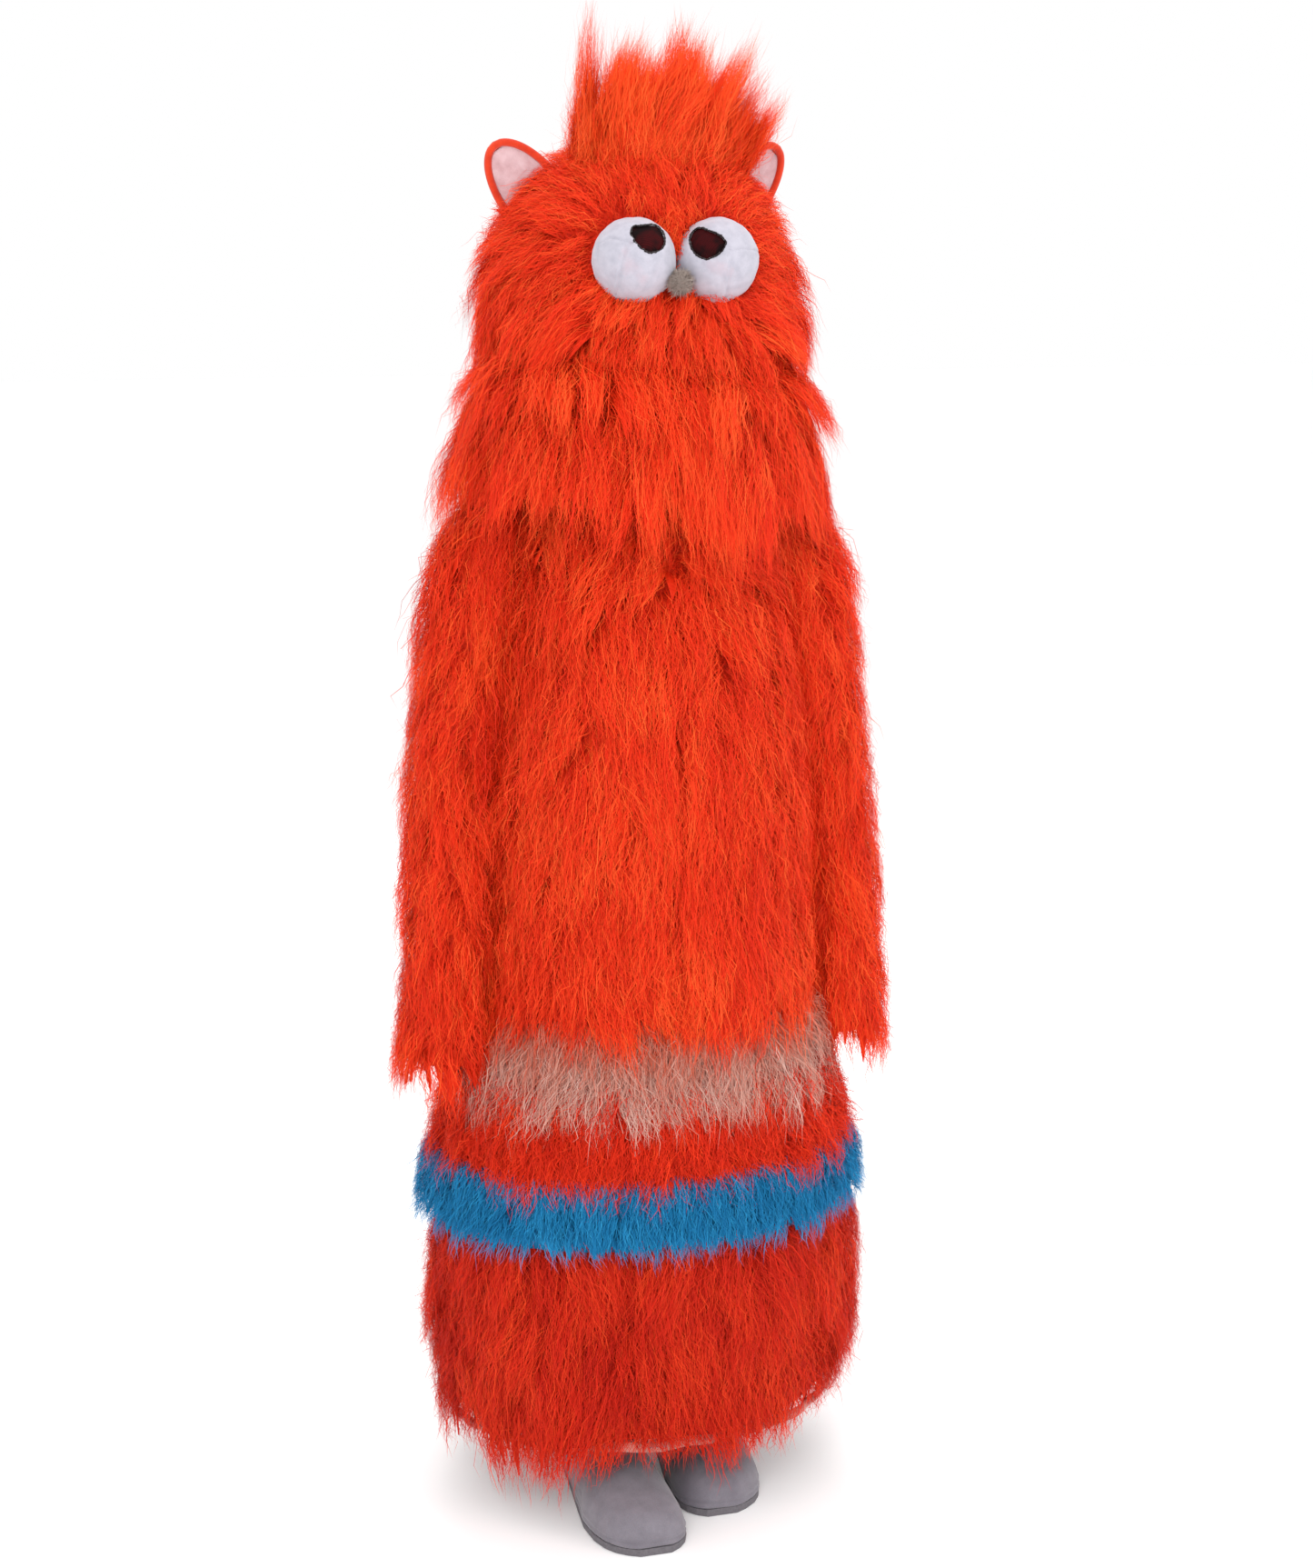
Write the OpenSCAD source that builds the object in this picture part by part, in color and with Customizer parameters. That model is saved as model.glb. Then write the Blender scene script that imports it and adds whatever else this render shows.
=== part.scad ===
// Full-size walkaround puppet: a furry creature worn by a performer, with a
// moving mouth under the muzzle fur. Front is -Y, up is +Z, the creature's
// right side is -X. Origin on the floor, under the middle of the bounding box.

/* [Robe] */
// Half width of the lower skirt, to the mean surface of the pile
skirt_a = 280; // [272:1:288]
// Half width of the blue band, to the mean surface of the pile
band_a = 288; // [286:1:296]
// Thickness of the tunic: backing, padding and pile
tunic_t = 26; // [22:1:28]
// Height of the tunic's hem above the floor
tunic_hem_z = 452; // [452:1:460]
// Height of the skirt's hem above the floor
skirt_hem_z = 112; // [108:1:118]
// Top end of the back zipper
zip_top_z = 1255; // [1200:5:1255]
// Bottom end of the back zipper
zip_bot_z = 690; // [660:10:760]

/* [Head] */
// Height of the pivot of the head
nod_z = 1470; // [1465:1:1475]
// Thickness of the foam head shell
shell_t = 8; // [6:1:10]
// Radius of each sewn eye dome
eye_r = 49.6; // [46:0.2:49.6]
// Height of the middle of the eyes
eye_z = 1566; // [1562:1:1570]
// Radius of the felt nose ball
nose_r = 13; // [10:0.5:13]
// Length of each ear from its base to its tip
ear_len = 92; // [80:1:100]
// Width of each ear at its base
ear_w = 70; // [60:1:74]

/* [Mouth] */
// Radius of the jaw hinge pins
pin_r = 3; // [2.5:0.25:3.5]
// Radial running clearance of the jaw on its pins
pin_gap = 0.05; // [0.03:0.01:0.1]
// Thickness of the mouth plates
mouth_t = 5; // [4:0.5:5]

/* [Arms] */
// Radius of the sleeve head round the shoulder
cap_r = 62; // [60:1:62]
// Radius of the sleeve's elbow ball
elbow_r = 48; // [44:1:48]
// Wall of the sleeves
sleeve_t = 10; // [8:1:12]

/* [Legs] */
// Radius of the leg cover at the ankle
ankle_r = 50; // [46:1:52]
// Radius of the leg cover at the hip
thigh_r = 66; // [60:1:66]
// Half the sideways distance between the feet
foot_x = 68; // [66:1:72]
// Step: how far each foot stands ahead of or behind the middle
stance = 37; // [20:1:37]
// Thickness of the soles
sole_t = 9; // [8:0.5:10]

/* [Hidden] */

y_shift = 28.5;          // puts the origin under the middle of the bounding box
n_side = 28;             // sides of each lofted ring
orange = [0.88, 0.2, 0.08];
dark_orange = [0.8, 0.14, 0.05];
grey = [0.5, 0.48, 0.5];
white = [0.85, 0.84, 0.87];

// Joints
shoulder = [217, 0, 1215];
elbow = [252, -10, 930];
wrist = [264, -30, 548];
hip_z = 850;
ankle_z = 95;
hinge = [124, -6, 1489];  // jaw hinge: x of the jaw's ear, y, z

// ---------- lofted shells ----------
// A ring is [z, a, front, back, a inner, front inner, back inner]: half width and
// depths of a superellipse, outside and inside.
function sp(v, e) = sign(v) * pow(abs(v), 2 / e);
function at(z, a, f, b, th, e) =
  [a * sp(cos(th), e), (sin(th) < 0 ? f : b) * sp(sin(th), e), z];
function outer_pts(r, n, t0, t1, e) =
  [for (i = [0:n]) at(r[0], r[1], r[2], r[3], t0 + (t1 - t0) * i / n, e)];
function inner_pts(r, n, t0, t1, e) =
  [for (i = [0:n]) at(r[0], r[4], r[5], r[6], t0 + (t1 - t0) * i / n, e)];
function flat1(l) = [for (a = l) for (b = a) b];
// walled ring made from a height, three outer sizes and a wall
function wall(z, a, f, b, t) = [z, a, f, b, a - t, f - t, b - t];

// Part of a tube from angle t0 to t1, a closed solid.
module panel(rings, t0, t1, n, e = 2) {
  m = len(rings);
  w = n + 1;
  pts = concat(flat1([for (r = rings) outer_pts(r, n, t0, t1, e)]),
               flat1([for (r = rings) inner_pts(r, n, t0, t1, e)]));
  o = m * w;
  faces = concat(
    flat1([for (k = [0:m - 2]) for (i = [0:n - 1]) let (a = k * w + i, b = a + 1, c = a + w, d = c + 1)
      [[a, c, d], [a, d, b]]]),
    flat1([for (k = [0:m - 2]) for (i = [0:n - 1]) let (a = o + k * w + i, b = a + 1, c = a + w, d = c + 1)
      [[a, d, c], [a, b, d]]]),
    flat1([for (i = [0:n - 1]) let (a = i, b = i + 1, c = o + i, d = o + i + 1) [[a, b, d], [a, d, c]]]),
    flat1([for (i = [0:n - 1]) let (q = (m - 1) * w, a = q + i, b = a + 1, c = o + a, d = o + b) [[a, d, b], [a, c, d]]]),
    flat1([for (k = [0:m - 2]) let (a = k * w, c = a + w, ia = o + a, ic = o + c) [[a, ia, ic], [a, ic, c]]]),
    flat1([for (k = [0:m - 2]) let (a = k * w + n, c = a + w, ia = o + a, ic = o + c) [[a, ic, ia], [a, c, ic]]]));
  polyhedron(pts, faces, convexity = 6);
}

// A whole tube.
module tube_loft(rings, n = n_side, e = 2) {
  m = len(rings);
  pts = concat(flat1([for (r = rings) [for (p = [for (i = [0:n - 1]) at(r[0], r[1], r[2], r[3], 360 * i / n, e)]) p]]),
               flat1([for (r = rings) [for (p = [for (i = [0:n - 1]) at(r[0], r[4], r[5], r[6], 360 * i / n, e)]) p]]));
  o = m * n;
  faces = concat(
    flat1([for (k = [0:m - 2]) for (i = [0:n - 1]) let (j = (i + 1) % n, a = k * n + i, b = k * n + j, c = a + n, d = b + n)
      [[a, c, d], [a, d, b]]]),
    flat1([for (k = [0:m - 2]) for (i = [0:n - 1]) let (j = (i + 1) % n, a = o + k * n + i, b = o + k * n + j, c = a + n, d = b + n)
      [[a, d, c], [a, b, d]]]),
    flat1([for (i = [0:n - 1]) let (j = (i + 1) % n, a = i, b = j, c = o + i, d = o + j) [[a, b, d], [a, d, c]]]),
    flat1([for (i = [0:n - 1]) let (j = (i + 1) % n, q = (m - 1) * n, a = q + i, b = q + j, c = o + a, d = o + b) [[a, d, b], [a, c, d]]]));
  polyhedron(pts, faces, convexity = 6);
}

// A bowl, open below and closed at the top by an outer and an inner tip.
module bowl(rings, tip_out, tip_in, n = n_side, e = 2) {
  m = len(rings);
  pts = concat(flat1([for (r = rings) [for (i = [0:n - 1]) at(r[0], r[1], r[2], r[3], 360 * i / n, e)]]),
               flat1([for (r = rings) [for (i = [0:n - 1]) at(r[0], r[4], r[5], r[6], 360 * i / n, e)]]),
               [[0, 0, tip_out], [0, 0, tip_in]]);
  o = m * n;
  q = (m - 1) * n;
  faces = concat(
    flat1([for (k = [0:m - 2]) for (i = [0:n - 1]) let (j = (i + 1) % n, a = k * n + i, b = k * n + j, c = a + n, d = b + n)
      [[a, c, d], [a, d, b]]]),
    flat1([for (k = [0:m - 2]) for (i = [0:n - 1]) let (j = (i + 1) % n, a = o + k * n + i, b = o + k * n + j, c = a + n, d = b + n)
      [[a, d, c], [a, b, d]]]),
    flat1([for (i = [0:n - 1]) let (j = (i + 1) % n, a = i, b = j, c = o + i, d = o + j) [[a, b, d], [a, d, c]]]),
    [for (i = [0:n - 1]) let (j = (i + 1) % n) [q + i, 2 * o, q + j]],
    [for (i = [0:n - 1]) let (j = (i + 1) % n) [o + q + i, o + q + j, 2 * o + 1]]);
  polyhedron(pts, faces, convexity = 6);
}

// A closed solid through rings [z, a, front, back].
module solid_loft(rings, n = n_side, e = 2) {
  m = len(rings);
  pts = concat(flat1([for (r = rings) [for (i = [0:n - 1]) at(r[0], r[1], r[2], r[3], 360 * i / n, e)]]),
               [[0, 0, rings[0][0]], [0, 0, rings[m - 1][0]]]);
  q = (m - 1) * n;
  faces = concat(
    flat1([for (k = [0:m - 2]) for (i = [0:n - 1]) let (j = (i + 1) % n, a = k * n + i, b = k * n + j, c = a + n, d = b + n)
      [[a, c, d], [a, d, b]]]),
    [for (i = [0:n - 1]) let (j = (i + 1) % n) [i, j, m * n]],
    [for (i = [0:n - 1]) let (j = (i + 1) % n) [q + i, m * n + 1, q + j]]);
  polyhedron(pts, faces, convexity = 4);
}

module ellipse(a, b) { scale([a, b]) circle(r = 1, $fn = 64); }
module flat_ring(a, b, t, z, h) {
  translate([0, 0, z]) linear_extrude(h) difference() { ellipse(a, b); ellipse(a - t, b - t); }
}

// Runs its children, drawn along +Z from the origin, along the line from p to q.
module along(p, q) {
  d = q - p;
  l = norm(d);
  translate(p) rotate([0, acos(d[2] / l), atan2(d[1], d[0])]) children();
}
function mir(p, s) = [s * p[0], p[1], p[2]];

// ---------- robe ----------
t = tunic_t;
tunic = [
  wall(642, 206, 196, 180.9, t), wall(700, 205, 194, 178, t),
  wall(930, 196, 184, 166.5, t), wall(1100, 174.5, 170, 158, t),
  wall(1147, 164, 163, 155.65, t), wall(1215, 152, 150, 152.25, t),
  wall(1260, 146, 138, 150, t), wall(1300, 128, 116, 120, t),
  wall(1325, 96, 92, 92, t)];
zip_half = 13;           // half width of the slot that the zipper fills

module armholes() {
  translate([-300, 0, shoulder[2]]) rotate([0, 90, 0]) cylinder(h = 600, r = 44, $fn = 48);
}
module zip_slot() {
  translate([-zip_half, 60, zip_bot_z - 12]) cube([2 * zip_half, 200, 800]);
}
module tunic_front_panel() {
  color(orange) difference() { panel(tunic, 180.4, 359.6, 22, 2.4); armholes(); }
}
module tunic_back_left_panel() {
  color(orange) difference() { panel(tunic, 0.4, 89.8, 11, 2.4); armholes(); zip_slot(); }
}
module tunic_back_right_panel() {
  color(orange) difference() { panel(tunic, 90.2, 179.6, 11, 2.4); armholes(); zip_slot(); }
}
module beige_fur_band() {
  color([0.74, 0.5, 0.42]) tube_loft([
    wall(527, 222, 199, 189, t), wall(540, 207, 198, 186, t), wall(641.8, 206, 196, 180.9, t)], n_side, 2.4);
}
module tunic_hem_band() {
  color(orange) tube_loft([
    wall(tunic_hem_z, 268, 206, 200, t), wall(500, 254, 202, 196, t), wall(526.8, 222, 199, 189, t)], n_side, 2.4);
}
module blue_fur_band() {
  color([0.1, 0.38, 0.6]) tube_loft([
    [360, band_a - 4, 212, 202, 255, 193, 185], [400, band_a, 217, 206, 255, 193, 185],
    [448, band_a - 10, 208, 198, 255, 193, 185]]);
}
skirt = [
  [skirt_hem_z, skirt_a - 18, 202, 196, 238, 178, 172], [170, skirt_a - 7, 208, 200, 238, 178, 172],
  [260, skirt_a, 212, 203, 238, 178, 172], [352, skirt_a - 3, 210, 201, 238, 178, 172],
  [356, 253, 191, 183, 238, 178, 172], [438, 250, 188, 180, 236, 174, 168],
  [446, 236, 174, 168, 228, 168, 161], [498, 224, 170, 164, 216, 162, 157]];
module skirt_front_panel() { color(dark_orange) panel(skirt, 180.3, 359.7, 20); }
module skirt_back_panel() { color(dark_orange) panel(skirt, 0.3, 179.7, 20); }
module hem_binding() {
  color([0.9, 0.6, 0.55]) flat_ring(skirt_a - 22, 196, 5, skirt_hem_z - 7, 6);
}

// Back zipper: a straight line that follows the back of the tunic's lining.
zip_slope = 0.05;
module on_back(z, out = 0) {      // frame on the zipper line, +Z up the zipper, +Y outward
  translate([0, 150 + (1260 - z) * zip_slope - t + out, z]) rotate([atan(zip_slope), 0, 0]) children();
}
zip_len = zip_top_z - zip_bot_z;
module zipper_chain() {
  color([0.75, 0.72, 0.68]) on_back(zip_bot_z) {
    for (x = [-20, 3.2]) translate([x, -2, 0]) cube([16.8, 1.4, zip_len]);
    translate([-3.4, -1.8, 0]) cube([6.8, 1.2, zip_len]);
    for (i = [0:floor(zip_len / 10) - 1])
      translate([i % 2 == 0 ? -3 : -1.4, -0.7, 3 + 10 * i]) cube([4.4, 1.5, 4]);
  }
}
module zipper_slider() {
  color([0.6, 0.58, 0.55]) on_back(zip_top_z - 16) translate([0, 1.1, 0]) {
    difference() {
      union() {
        translate([-5.5, 0, 0]) cube([11, 2, 14]);
        for (s = [-1, 1]) translate([s > 0 ? 2.2 : -4, 2, 4.5]) cube([1.8, 4, 5]);
      }
      translate([-10, 4.2, 7]) rotate([0, 90, 0]) cylinder(h = 20, r = 1.05, $fn = 24);
    }
  }
}
module zipper_pull() {
  color([0.6, 0.58, 0.55]) on_back(zip_top_z - 16) translate([0, 5.3, 7]) {
    translate([-6, 0, 0]) rotate([0, 90, 0]) cylinder(h = 12, r = 1, $fn = 24);
    difference() {
      translate([-1.9, 1.2, -34]) cube([3.8, 1.6, 34.4]);
      translate([0, -1, -30]) rotate([-90, 0, 0]) cylinder(h = 6, r = 1.1, $fn = 24);
    }
    translate([-1.9, -0.4, -1]) cube([3.8, 2.4, 1.9]);
  }
}

// Hoops and the webbing that hangs them from the harness
hoops = [[1080, 150, 142, 128], [800, 172, 160, 142], [470, 216, 160, 154], [122, 236, 176, 170]];
module hoop(h) {
  color([0.9, 0.88, 0.8]) difference() {
    tube_loft([[h[0], h[1] - 2, h[2] - 2, h[3] - 2, h[1] - 5, h[2] - 5, h[3] - 5],
               [h[0] + 10, h[1] - 2, h[2] - 2, h[3] - 2, h[1] - 5, h[2] - 5, h[3] - 5]], 40);
  }
}
// one strip through four heights, wall 2, width w, on the side given by signs
module tape_strip(sx, sy) {
  lv = [1140, 1085, 805, 475, 118];
  ref = [0, 0, 1, 2, 3];
  xs = [for (i = [0:4]) sx * (hoops[ref[i]][1] - 6) * 0.72];
  ys = [for (i = [0:4]) sy * (sy < 0 ? hoops[ref[i]][2] - 6 : hoops[ref[i]][3] - 6) * 0.68];
  nx = 0.7 * sx; ny = 0.714 * sy;
  pts = flat1([for (i = [0:4]) let (x = xs[i], y = ys[i], z = lv[i]) [
    [x - ny * 12, y + nx * 12, z], [x + ny * 12, y - nx * 12, z],
    [x + ny * 12 - nx * 2, y - nx * 12 - ny * 2, z], [x - ny * 12 - nx * 2, y + nx * 12 - ny * 2, z]]]);
  side = flat1([for (k = [0:3]) for (i = [0:3]) let (j = (i + 1) % 4, a = 4 * k + i, b = 4 * k + j, c = a + 4, d = b + 4)
    [[a, b, d], [a, d, c]]]);
  polyhedron(pts, concat(side, [[0, 2, 1], [0, 3, 2], [16, 17, 18], [16, 18, 19]]), convexity = 4);
}
module hoop_tapes() {
  color([0.15, 0.15, 0.16]) for (sx = [-1, 1]) for (sy = [-1, 1])
    tape_strip(sx, sy);
}

// Harness
pad_x = 64;
module harness_pads() {
  color([0.12, 0.12, 0.13]) for (s = [-1, 1]) translate([s * pad_x, 0, 1180]) rotate([0, 90, 0])
    rotate([0, 0, 90]) rotate_extrude(angle = 180, $fn = 64) translate([96, -20]) square([9, 40]);
}
module harness_straps() {
  color([0.15, 0.15, 0.16]) for (sx = [-1, 1]) for (sy = [-1, 1])
    translate([sx * pad_x - 19, sy > 0 ? 96.2 : -101.5, 1000]) cube([38, 3, 180]);
}
module waist_belt() { color([0.15, 0.15, 0.16]) flat_ring(150, 116, 4, 960, 40); }
module belt_buckle() {
  color([0.08, 0.08, 0.09]) difference() {
    translate([-28, -123.5, 964]) cube([56, 8, 32]);
    for (s = [-1, 1]) translate([s > 0 ? 14 : -22, -126, 972]) cube([8, 12, 16]);
  }
}
module trouser_seat() { color(grey) flat_ring(146, 112, 4, 872, 88); }

// ---------- mane, neck ----------
module mane_cape() {
  color(orange) tube_loft([
    wall(1290, 226, 196, 190, 24), wall(1330, 222, 192, 186, 25), wall(1380, 198, 186, 178, 22)]);
}
module mane_collar() { color([0.2, 0.2, 0.2]) flat_ring(195, 160, 76, 1331, 5); }
// Scooped low at the front, so that the opened jaw clears it when the head nods.
module neck_gaiter() {
  color(dark_orange) difference() {
    flat_ring(86, 84.5, 3, 1336, 66);
    translate([-100, -120, 1343]) cube([200, 90, 80]);
  }
}

// ---------- head ----------
sh = shell_t;
head_rings = [
  wall(1436, 118, 118, 118, sh), wall(1460, 134, 138, 132, sh), wall(1500, 146, 150, 142, sh),
  wall(1560, 146, 150, 146, sh), wall(1610, 134, 140, 138, sh), wall(1650, 108, 114, 114, sh),
  wall(1675, 76, 80, 82, sh)];
fur_rings = [
  [1430, 164, 152, 158, 124, 124, 124], [1460, 184, 168, 174, 137, 141, 135],
  [1500, 186, 173, 177, 149, 153, 145], [1560, 180, 172, 177, 149, 153, 149],
  [1610, 164, 160, 166, 137, 143, 141], [1650, 136, 134, 140, 111, 117, 117],
  [1682, 96, 96, 102, 78, 82, 84]];
pupil_x = 38;
pupil_z = 1588;
// the space that the jaw swings in, as a prism along X
module jaw_sweep() {
  translate([-250, 0, 0]) rotate([90, 0, 90])
    linear_extrude(500) polygon([[-300, 1482], [-8, 1482], [32, 1400], [-300, 1400]]);
}
module jaw_keep() { translate([-250, -300, 1400]) cube([500, 286, 78]); }
module ear_frame(s) {
  translate([s * 112, 6, 1632]) rotate([0, s * 38, 0]) rotate([0, 0, s * 25]) children();
}
module ear_outline(l, w, r) {
  offset(r = r) offset(delta = -r) polygon([[-w / 2, 0], [w / 2, 0], [w * 0.5, l * 0.3],
    [w * 0.34, l * 0.74], [w * 0.1, l], [-w * 0.1, l], [-w * 0.34, l * 0.74], [-w * 0.5, l * 0.3]]);
}
module ear_plate(l, w, d, r) { rotate([90, 0, 0]) linear_extrude(d) ear_outline(l, w, r); }
module ear(s) {
  color(orange) ear_frame(s) difference() {
    translate([0, 4.5, 0]) ear_plate(ear_len, ear_w, 9, 12);
    translate([0, -1.5, 15]) ear_plate(ear_len - 23, ear_w - 15, 6, 9);
  }
}
module ear_lining(s) {
  color(white) ear_frame(s) translate([0, -1.7, 15.3]) ear_plate(ear_len - 23.6, ear_w - 15.6, 2.4, 8.7);
}
module ear_slots() {
  for (s = [-1, 1]) ear_frame(s) translate([-ear_w / 2 - 1, -5.5, -30]) cube([ear_w + 2, 11, 130]);
}
module eye_ports(r) {
  for (s = [-1, 1]) translate([s * 40, -60, 1584]) rotate([90, 0, 0]) cylinder(h = 200, r = r, $fn = 40);
}
module head_shell() {
  color([0.2, 0.2, 0.22]) difference() {
    bowl(head_rings, 1692, 1684);
    jaw_sweep();
    eye_ports(26);
  }
}
module head_fur() {
  color(orange) difference() {
    bowl(fur_rings, 1706, 1694);
    jaw_sweep();
    for (s = [-1, 1]) translate([s * 50, -90, eye_z]) rotate([90, 0, 0]) cylinder(h = 200, r = eye_r + 1, $fn = 48);
    ear_slots();
  }
}
module forehead_tuft() {
  color(orange) difference() {
    translate([0, -42, 0]) solid_loft([[1664, 84, 66, 60], [1690, 92, 68, 62], [1750, 106, 64, 62],
      [1800, 112, 60, 58], [1824, 102, 48, 46]], 24);
    solid_loft(concat([for (r = fur_rings) [r[0], r[1] + 0.3, r[2] + 0.3, r[3] + 0.3]], [[1706.4, 4, 4, 4]]));
  }
}
module eye_dome(s) {
  color(white) difference() {
    translate([s * 50, -152, eye_z]) rotate([90, 0, 0]) rotate_extrude($fn = 64) intersection() {
      difference() { circle(r = eye_r, $fn = 96); circle(r = eye_r - 3, $fn = 96); }
      square(60);
    }
    translate([s * pupil_x, -150, pupil_z]) rotate([90, 0, 0]) cylinder(h = 80, r = 20, $fn = 40);
  }
}
module pupil_mesh(s) {
  color([0.2, 0.03, 0.03]) intersection() {
    difference() {
      translate([s * 50, -152, eye_z]) sphere(r = eye_r - 3.4, $fn = 64);
      translate([s * 50, -152, eye_z]) sphere(r = eye_r - 4.6, $fn = 64);
    }
    translate([s * pupil_x, -160, pupil_z]) rotate([90, 0, 0]) cylinder(h = 60, r = 23, $fn = 40);
  }
}
module nose_ball() { color([0.58, 0.53, 0.5]) translate([0, -182.5, 1541]) sphere(r = nose_r, $fn = 40); }
module headband() { color([0.1, 0.1, 0.1]) flat_ring(84, 102, 3, 1612, 24); }
module crown_straps() {
  color([0.25, 0.25, 0.27]) {
    translate([0, 10, 1636.5]) rotate([90, 0, 0]) linear_extrude(20) intersection() {
      difference() { ellipse(83, 38); ellipse(81, 36); }
      translate([-100, 0]) square([200, 60]);
    }
    translate([-10, 0, 1636.5]) rotate([90, 0, 90]) linear_extrude(20) intersection() {
      difference() { ellipse(92, 38); ellipse(90, 36); }
      translate([-110, 0]) square([220, 60]);
    }
  }
}
module foam_spacers() {
  color([0.3, 0.3, 0.32]) {
    for (s = [-1, 1]) translate([s > 0 ? 84.2 : -118.2, -15, 1612]) cube([34, 30, 10]);
    translate([-15, 102.2, 1612]) cube([30, 20, 10]);
    translate([-15, -124.2, 1612]) cube([30, 22, 10]);
  }
}
// crescent mouth plates, front half of an elliptic ring
module crescent(a, b, ai, bi, z, h) {
  translate([0, 0, z]) linear_extrude(h) difference() {
    ellipse(a, b); ellipse(ai, bi); translate([-200, -10]) square([400, 400]);
  }
}
module upper_mouth_plate() { color([0.15, 0.02, 0.02]) crescent(112, 138, 90, 92, 1484, mouth_t); }
module jaw_hinge_brackets() {
  color([0.7, 0.7, 0.72]) for (s = [-1, 1]) difference() {
    translate([s > 0 ? 127 : -140, hinge[1] - 9, hinge[2] - 6]) cube([13, 18, 26]);
    translate([s * 122, hinge[1], hinge[2]]) rotate([0, s * 90, 0]) cylinder(h = 12, r = pin_r + 0.02, $fn = 40);
    translate([s > 0 ? 133 : -141, hinge[1] - 20, hinge[2] - 10]) cube([8, 40, 18]);
  }
}
module jaw_hinge_pins() {
  color([0.8, 0.8, 0.82]) for (s = [-1, 1]) {
    translate([s * 119.4, hinge[1], hinge[2]]) rotate([0, s * 90, 0]) cylinder(h = 12.4, r = pin_r, $fn = 40);
    translate([s * 117.4, hinge[1], hinge[2]]) rotate([0, s * 90, 0]) cylinder(h = 2, r = pin_r + 2.4, $fn = 40);
  }
}
module jaw_elastics() {
  color([0.1, 0.1, 0.1]) for (s = [-1, 1]) along([s * 106.1, -62, 1474.5], [s * 121.5, -62, 1556]) cylinder(h = 82.9, r = 2, $fn = 24);
}
module jaw_plate() {
  color([0.15, 0.02, 0.02]) {
    crescent(119.5, 134, 96, 95, 1469, mouth_t);
    for (s = [-1, 1]) difference() {
      union() {
        translate([s > 0 ? 120 : -125, -34, 1469]) cube([5, 36, 20]);
        translate([s * 120, hinge[1], hinge[2]]) rotate([0, s * 90, 0]) cylinder(h = 5, r = 8, $fn = 40);
        translate([s > 0 ? 110 : -121, -34, 1469]) cube([11, 20, mouth_t]);
      }
      translate([s * 118, hinge[1], hinge[2]]) rotate([0, s * 90, 0]) cylinder(h = 10, r = pin_r + pin_gap, $fn = 40);
    }
  }
}
module jaw_shell() {
  color([0.2, 0.2, 0.22]) intersection() {
    tube_loft([wall(1436, 118, 118, 118, sh), wall(1460, 134, 138, 132, sh), wall(1500, 146, 150, 142, sh)]);
    translate([-250, -300, 1400]) cube([500, 266, 78]);
  }
}
module jaw_fur() {
  color(orange) intersection() {
    tube_loft([fur_rings[0], fur_rings[1], fur_rings[2]]);
    jaw_keep();
  }
}
module chin_cup() {
  color([0.12, 0.12, 0.13]) {
    difference() {
      translate([0, -60, 1476]) sphere(r = 36, $fn = 48);
      translate([0, -60, 1476]) sphere(r = 33, $fn = 48);
      translate([-60, -120, 1462]) cube([120, 120, 60]);
    }
    for (s = [-1, 1]) translate([s > 0 ? 29 : -96, -68, 1459]) cube([67, 16, 2.4]);
    for (s = [-1, 1]) translate([s > 0 ? 94 : -96.4, -68, 1459]) cube([2.4, 16, 10]);
  }
}

// ---------- arms ----------
module shoulder_pad(s) {
  color([0.3, 0.3, 0.32]) difference() {
    translate(mir(shoulder, s)) sphere(r = 56, $fn = 48);
    translate(mir(shoulder, s)) sphere(r = 48, $fn = 48);
    translate(mir(shoulder, s) + [-80, -80, -100]) cube([160, 160, 106]);
  }
}
module upper_sleeve(s) {
  p = mir(shoulder, s);
  q = mir(elbow, s);
  l = norm(q - p) - 51;
  color(orange) difference() {
    union() {
      translate(p) sphere(r = cap_r, $fn = 48);
      along(p, q) cylinder(h = l, r1 = 57, r2 = 50, $fn = 48);
    }
    translate(p) sphere(r = 57.5, $fn = 48);
    along(p, q) cylinder(h = l + 5, r1 = 57 - sleeve_t, r2 = 50 - sleeve_t, $fn = 48);
    translate(p) rotate([0, -s * 90, 0]) cylinder(h = 100, r = 42, $fn = 48);
  }
}
module lower_sleeve(s) {
  p = mir(elbow, s);
  q = mir(wrist, s);
  color(orange) difference() {
    union() {
      translate(p) sphere(r = elbow_r, $fn = 48);
      along(p, q) cylinder(h = norm(q - p), r1 = elbow_r - 4, r2 = 50, $fn = 48);
    }
    translate(p) sphere(r = elbow_r - sleeve_t + 2, $fn = 48);
    along(p, q) cylinder(h = 500, r1 = elbow_r - 4 - sleeve_t, r2 = 50 - sleeve_t + 2, $fn = 48);
    along(p, 2 * p - q) cylinder(h = 100, r = 34, $fn = 48);
  }
}

// ---------- legs and shoes ----------
function ankle_y(s) = -11 + (s < 0 ? -stance : stance);
module leg_cover(s) {
  p = [s * foot_x, ankle_y(s), 113];
  q = [s * 75, -8, hip_z];
  color(grey) difference() {
    along(p, q) cylinder(h = norm(q - p), r1 = ankle_r, r2 = thigh_r, $fn = 48);
    along(p, q) translate([0, 0, -5]) cylinder(h = norm(q - p) + 10, r1 = ankle_r - 4, r2 = thigh_r - 4, $fn = 48);
  }
}
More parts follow.
